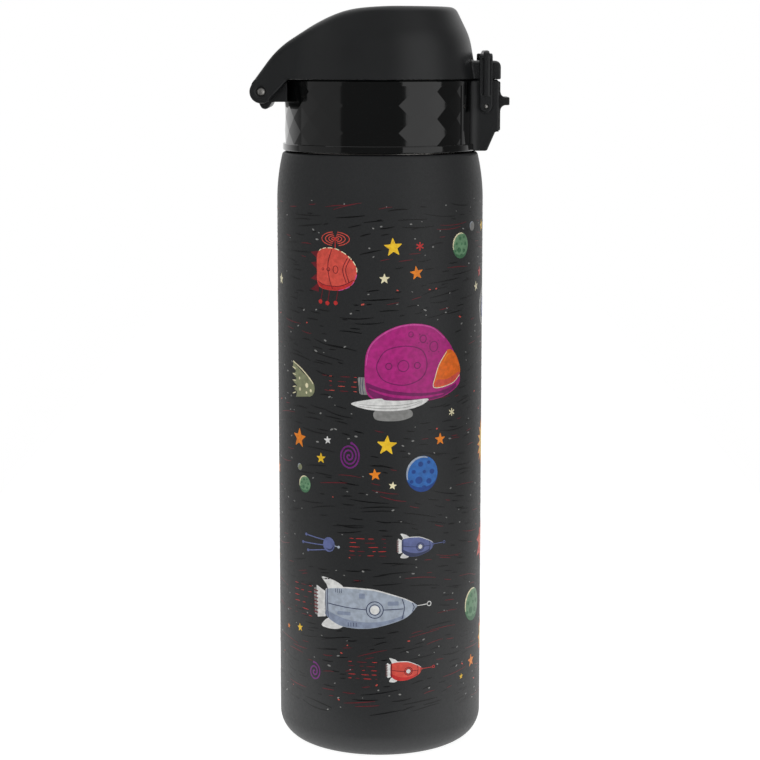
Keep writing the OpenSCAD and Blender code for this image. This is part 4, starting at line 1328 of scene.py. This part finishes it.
def back_motifs(art):
    """The sides and the back, in the same hand."""
    rocket(art, 97.0, 145.0, 0.95, "coral", "dark_red", "dark_red", "white", "red")
    rocket(art, -88.0, 120.0, 0.9, "blue", "navy", "navy", "white", "steel_blue")
    rocket(art, 92.0, 80.0, 0.6, "green", "dark_green", "dark_green", "white", "green", 0.76)
    rocket(art, -74.0, 38.0, 0.75, "silver", "steel_blue", "steel_blue", "white", "white")
    dashes(art, ("red", "dark_red"), 62.0, 146.0, 9.0, 8.0, 5, 21)
    dashes(art, ("blue", "steel_blue"), ROUND - 121.0, 121.0, 9.0, 7.0, 5, 22)
    dashes(art, ("dark_red", "red"), -103.0, 38.6, 9.0, 7.0, 5, 23)
    satellite(art, -58.0, 158.0)
    satellite(art, 70.0, 50.0)
    tailed_rock(art, 72.0, 112.0)
    fireball(art, -66.0, 84.0, 5.2)
    ringed(art, -64.0, 62.0, 6.2)
    ringed(art, 100.0, 40.0, 5.4)
    planet(art, "blue", "navy", "silver", 68.0, 168.0, 6.2, 6.4, SPOTS)
    planet(art, "green", "dark_green", "cream", -72.0, 150.0, 6.0, 6.2, SPOTS)
    planet(art, "olive", "grey", "cream", -98.0, 90.0, 4.4, 4.6, SPOTS)
    planet(art, "coral", "dark_red", "cream", 78.0, 26.0, 4.8, 5.0, SPOTS)
    planet(art, "purple", "magenta", "pink", -62.0, 108.0, 4.6, 4.8, SPOTS)
    whorl(art, "purple", 88.0, 104.0, 4.2, 4.6, 3.0, 0.55, 10)
    whorl(art, "purple", -78.0, 172.0, 3.6, 3.8, 2.6, 0.5, 80)
    whorl(art, "steel_blue", -100.0, 60.0, 3.8, 4.2, 2.8, 0.5, 30)
    draw = random.Random(7)
    inks = ("yellow", "orange", "cream", "yellow", "white", "red")
    for i in range(34):
        s = 48 + (ROUND - 84) * i / 34 + draw.uniform(-1.5, 1.5)
        z = draw.uniform(24, 178)
        if any(math.hypot(at - a, z - b) < c + 4 for a, b, c in art.taken for at in (s, s - ROUND)):
            continue
        star(art, inks[i % len(inks)], s, z, draw.uniform(1.4, 2.9), draw.uniform(-12, 12))


def fine_strokes(art, rows, specks):
    """Short flowing strokes and pale specks between the motifs."""
    draw = random.Random(42)
    girth = 2 * math.pi * WALL_R
    free = lambda s, z, gap: not any(
        math.hypot((s - a + girth / 2) % girth - girth / 2, z - b) < c + gap for a, b, c in art.taken)
    for row in range(rows):
        level_z = PRINT_LOW + (PRINT_HIGH - PRINT_LOW) * row / rows
        s = -girth / 2 + draw.uniform(0, 8)
        while s < girth / 2 - 12:
            length = draw.uniform(6, 13) if draw.random() < 0.35 else draw.uniform(1.6, 5)
            z = level_z + draw.uniform(-0.9, 0.9)
            lean = 9 * math.sin(s / 17.0 + z / 21.0) + draw.uniform(-5, 5)
            bend = draw.uniform(-11, 11)
            steps = max(3, int(length / 1.1))
            path = [(s, z)]
            for k in range(steps):
                a = math.radians(lean + bend * (k / steps - 0.5) * 2)
                x, y = path[-1]
                path.append((x + length / steps * math.cos(a), y + length / steps * math.sin(a)))
            s += length + draw.uniform(1.5, 9.5)
            red = draw.random() < 0.22
            width = draw.uniform(0.18, 0.26) if red else draw.uniform(0.28, 0.42)
            if all(free(*p, 0.2) for p in path) and PRINT_LOW < path[-1][1] < PRINT_HIGH:
                art.line("dark_red" if red else "black", path, width, taper=True)
    for _ in range(specks):
        s, z = draw.uniform(-girth / 2, girth / 2), draw.uniform(PRINT_LOW, PRINT_HIGH)
        r = draw.uniform(0.13, 0.28)
        if free(s, z, 0.6):
            ink = "coral" if draw.random() < 0.1 else "grey"
            art.fill(ink, oval(s, z, r * draw.uniform(1.2, 2.6), r, draw.uniform(-35, 35), 8))


def flat_shapes(fills, strips):
    """A flat mesh of one ink's layer, cut into upright strips narrow enough to bend round the wall."""
    work = bmesh.new()
    for outline in fills:
        corners_in = [work.verts.new((s, z, 0)) for s, z in outline]
        for tri in tessellate_polygon([[Vector((s, z, 0)) for s, z in outline]]):
            if len(set(tri)) == 3:
                work.faces.new([corners_in[i] for i in tri])
    if fills:
        low = min(s for outline in fills for s, _ in outline)
        high = max(s for outline in fills for s, _ in outline)
        for k in range(math.floor(low / FILL_STEP), math.ceil(high / FILL_STEP) + 1):
            at = k * FILL_STEP
            near = [f for f in work.faces
                    if min(v.co.x for v in f.verts) < at < max(v.co.x for v in f.verts)]
            if near:
                parts = set(near) | {e for f in near for e in f.edges} | {v for f in near for v in f.verts}
                bmesh.ops.bisect_plane(work, geom=list(parts), plane_co=(at, 0, 0), plane_no=(1, 0, 0))
    for left, right, closed in strips:
        a = [work.verts.new((s, z, 0)) for s, z in left]
        b = [work.verts.new((s, z, 0)) for s, z in right]
        for i in range(len(a) if closed else len(a) - 1):
            j = (i + 1) % len(a)
            work.faces.new((a[i], b[i], b[j], a[j]))
    work.normal_update()
    for face in work.faces:
        if face.normal.z < 0:
            face.normal_flip()
    return work


def printed_mesh(name, layers, ink_height):
    """One ink's film: each layer is a thin closed solid bent round the wall, its foot in the coat."""
    mesh = bpy.data.meshes.new(name)
    whole = bmesh.new()
    for layer, (fills, strips) in sorted(layers.items()):
        work = flat_shapes(fills, strips)
        top = bmesh.ops.extrude_face_region(work, geom=work.faces[:])
        for part in top["geom"]:
            if isinstance(part, bmesh.types.BMVert):
                part.co.z = 1.0
        height = ink_height * (1 + 0.5 * layer)
        for v in work.verts:
            r = WALL_R + (height if v.co.z > 0.5 else -FILM_FOOT)
            a = v.co.x / WALL_R
            v.co = Vector((r * math.sin(a), -r * math.cos(a), v.co.y)) * MM
        flat = bpy.data.meshes.new("layer")
        bmesh.ops.recalc_face_normals(work, faces=work.faces)
        work.to_mesh(flat)
        work.free()
        whole.from_mesh(flat)
        bpy.data.meshes.remove(flat)
    whole.to_mesh(mesh)
    whole.free()
    mesh.polygons.foreach_set("use_smooth", [True] * len(mesh.polygons))
    mesh.set_sharp_from_angle(angle=math.radians(30))
    return mesh


class BOTTLE_OT_print(bpy.types.Operator):
    """The screen print round the bottle, one piece for each ink"""

    bl_idname = "bottle.print"
    bl_label = "Print"

    def execute(self, context):
        sizes = context.scene.bottle_sizes
        art = Artwork()
        front_motifs(art)
        back_motifs(art)
        fine_strokes(art, sizes.stroke_rows, sizes.specks)
        for ink in INKS:
            layers = {}
            for kind, drawn in enumerate((art.fills, art.strips)):
                for (own, layer), shapes in drawn.items():
                    if own == ink:
                        layers.setdefault(layer, ([], []))[kind].extend(shapes)
            if layers:
                mesh = printed_mesh("print_" + ink, layers, sizes.ink_height / MM)
                place("print_" + ink, mesh, "bottle", "screen_ink", ("ink_" + ink,))
        return {"FINISHED"}


# ---------------------------------------------------------------- stage


# Metres, degrees and the lens in millimetres
CAMERA_AT = (0, -0.7048, 0.2305)
CAMERA_TILT = 81.23
CAMERA_LENS = 100.67
LIGHTS_AIM = (0, 0, 0.13)
DIM_IN_FRONT, LIT_BEHIND = 0.09, 0.95


def softbox(name, place_at, wide, high, power):
    """A soft rectangular light, turned to the bottle's middle."""
    data = bpy.data.lights.new(name, "AREA")
    data.shape = "RECTANGLE"
    data.size, data.size_y, data.energy = wide, high, power
    light = bpy.data.objects.new(name, data)
    bpy.context.scene.collection.objects.link(light)
    light.location = place_at
    light.rotation_euler = (Vector(LIGHTS_AIM) - Vector(place_at)).to_track_quat("-Z", "Y").to_euler()
    return light


class BOTTLE_OT_stage(bpy.types.Operator):
    """The pale floor, the soft lights, the surroundings and the camera"""

    bl_idname = "bottle.stage"
    bl_label = "Stage"

    def execute(self, context):
        scene = context.scene
        mesh = bpy.data.meshes.new("floor")
        near, far, half = -0.05, 1.2, 0.2
        edge = [(-half, near, 0), (half, near, 0), (half, far, 0), (-half, far, 0)]
        mesh.from_pydata(edge, [], [(0, 1, 2, 3)])
        floor = bpy.data.objects.new("floor", mesh)
        scene.collection.objects.link(floor)
        # Uncoated paper on a light table: plain and shadowless, with a faint cloudiness
        made, tree, shader = finish("paper_matt_lit_from_below", Roughness=0.9, Specular_IOR_Level=0.1,
                                    Emission_Color=(1, 1, 1, 1), Emission_Strength=0.9)
        fibre = noise(tree, 40, 2)
        tree.links.new(tone(tree, fibre, linear("#a9a9a8"), linear("#b4b4b3")), shader.inputs["Base Color"])
        mesh.materials.append(made)

        world = bpy.data.worlds.new("studio")
        scene.world = world
        world.use_nodes = True
        tree = world.node_tree
        tree.nodes.clear()
        # The surroundings light the bottle from behind and are dim in front; the ground itself shows white.
        way = add(tree, "TexCoord").outputs["Generated"]
        parts = add(tree, "SeparateXYZ", inputs={0: way}).outputs
        behind = add(tree, "MapRange", {"interpolation_type": "SMOOTHSTEP"}, {
            "Value": parts["Y"], "From Min": 0.25, "From Max": 0.93,
            "To Min": DIM_IN_FRONT, "To Max": LIT_BEHIND}).outputs[0]
        light = add(tree, "Background", inputs={"Color": (1, 1, 1, 1), "Strength": behind}).outputs[0]
        seen = add(tree, "Background", inputs={"Color": (1, 1, 1, 1), "Strength": 1.0}).outputs[0]
        camera_ray = add(tree, "LightPath").outputs["Is Camera Ray"]
        mixed = add(tree, "MixShader", inputs={0: camera_ray, 1: light, 2: seen}).outputs[0]
        add(tree, "OutputWorld", inputs={"Surface": mixed})

        softbox("softbox_right", (0.946, -0.739, 0.15), 1.15, 2.2, 5.2)
        softbox("softbox_left", (-1.174, -0.25, 0.15), 1.5, 2.2, 2.1)
        fill = softbox("fill_front", (-0.35, -1.5, 0.5), 1.4, 1.4, 17.0)
        fill.visible_glossy = False
        softbox("softbox_top", (0, 0.2, 1.4), 1.6, 1.2, 4.0)

        data = bpy.data.cameras.new("camera")
        data.lens, data.sensor_width = CAMERA_LENS, 36.0
        camera = bpy.data.objects.new("camera", data)
        scene.collection.objects.link(camera)
        camera.location = CAMERA_AT
        camera.rotation_euler = (math.radians(CAMERA_TILT), 0, 0)
        scene.camera = camera
        scene.view_settings.view_transform = "Standard"
        return {"FINISHED"}


class BOTTLE_PT_panel(bpy.types.Panel):
    """Lists the bottle's operators and settings"""

    bl_idname = "BOTTLE_PT_panel"
    bl_label = "Flip-top bottle"
    bl_space_type = "VIEW_3D"
    bl_region_type = "UI"
    bl_category = "Bottle"

    def draw(self, context):
        for group in (context.scene.bottle_sizes, context.scene.bottle_colours):
            for name in group.__annotations__:
                self.layout.prop(group, name)
        for operator in OPERATORS:
            self.layout.operator(operator.bl_idname)


OPERATORS = (
    BOTTLE_OT_shell,
    BOTTLE_OT_frame_pieces,
    BOTTLE_OT_collar,
    BOTTLE_OT_lid_inside,
    BOTTLE_OT_cap,
    BOTTLE_OT_catch,
    BOTTLE_OT_pins,
    BOTTLE_OT_print,
    BOTTLE_OT_stage,
)
CLASSES = (BottleSizes, BottleColours, *OPERATORS, BOTTLE_PT_panel)


def register():
    """Adds the classes and the settings to Blender."""
    for item in CLASSES:
        bpy.utils.register_class(item)
    bpy.types.Scene.bottle_sizes = PointerProperty(type=BottleSizes)
    bpy.types.Scene.bottle_colours = PointerProperty(type=BottleColours)


def unregister():
    """Takes them out again."""
    del bpy.types.Scene.bottle_colours
    del bpy.types.Scene.bottle_sizes
    for item in reversed(CLASSES):
        bpy.utils.unregister_class(item)


def main():
    """Builds every piece in order."""
    register()
    make_finishes(bpy.context.scene.bottle_colours)
    for operator in OPERATORS:
        group, name = operator.bl_idname.split(".")
        getattr(getattr(bpy.ops, group), name)()


if __name__ == "__main__":
    main()
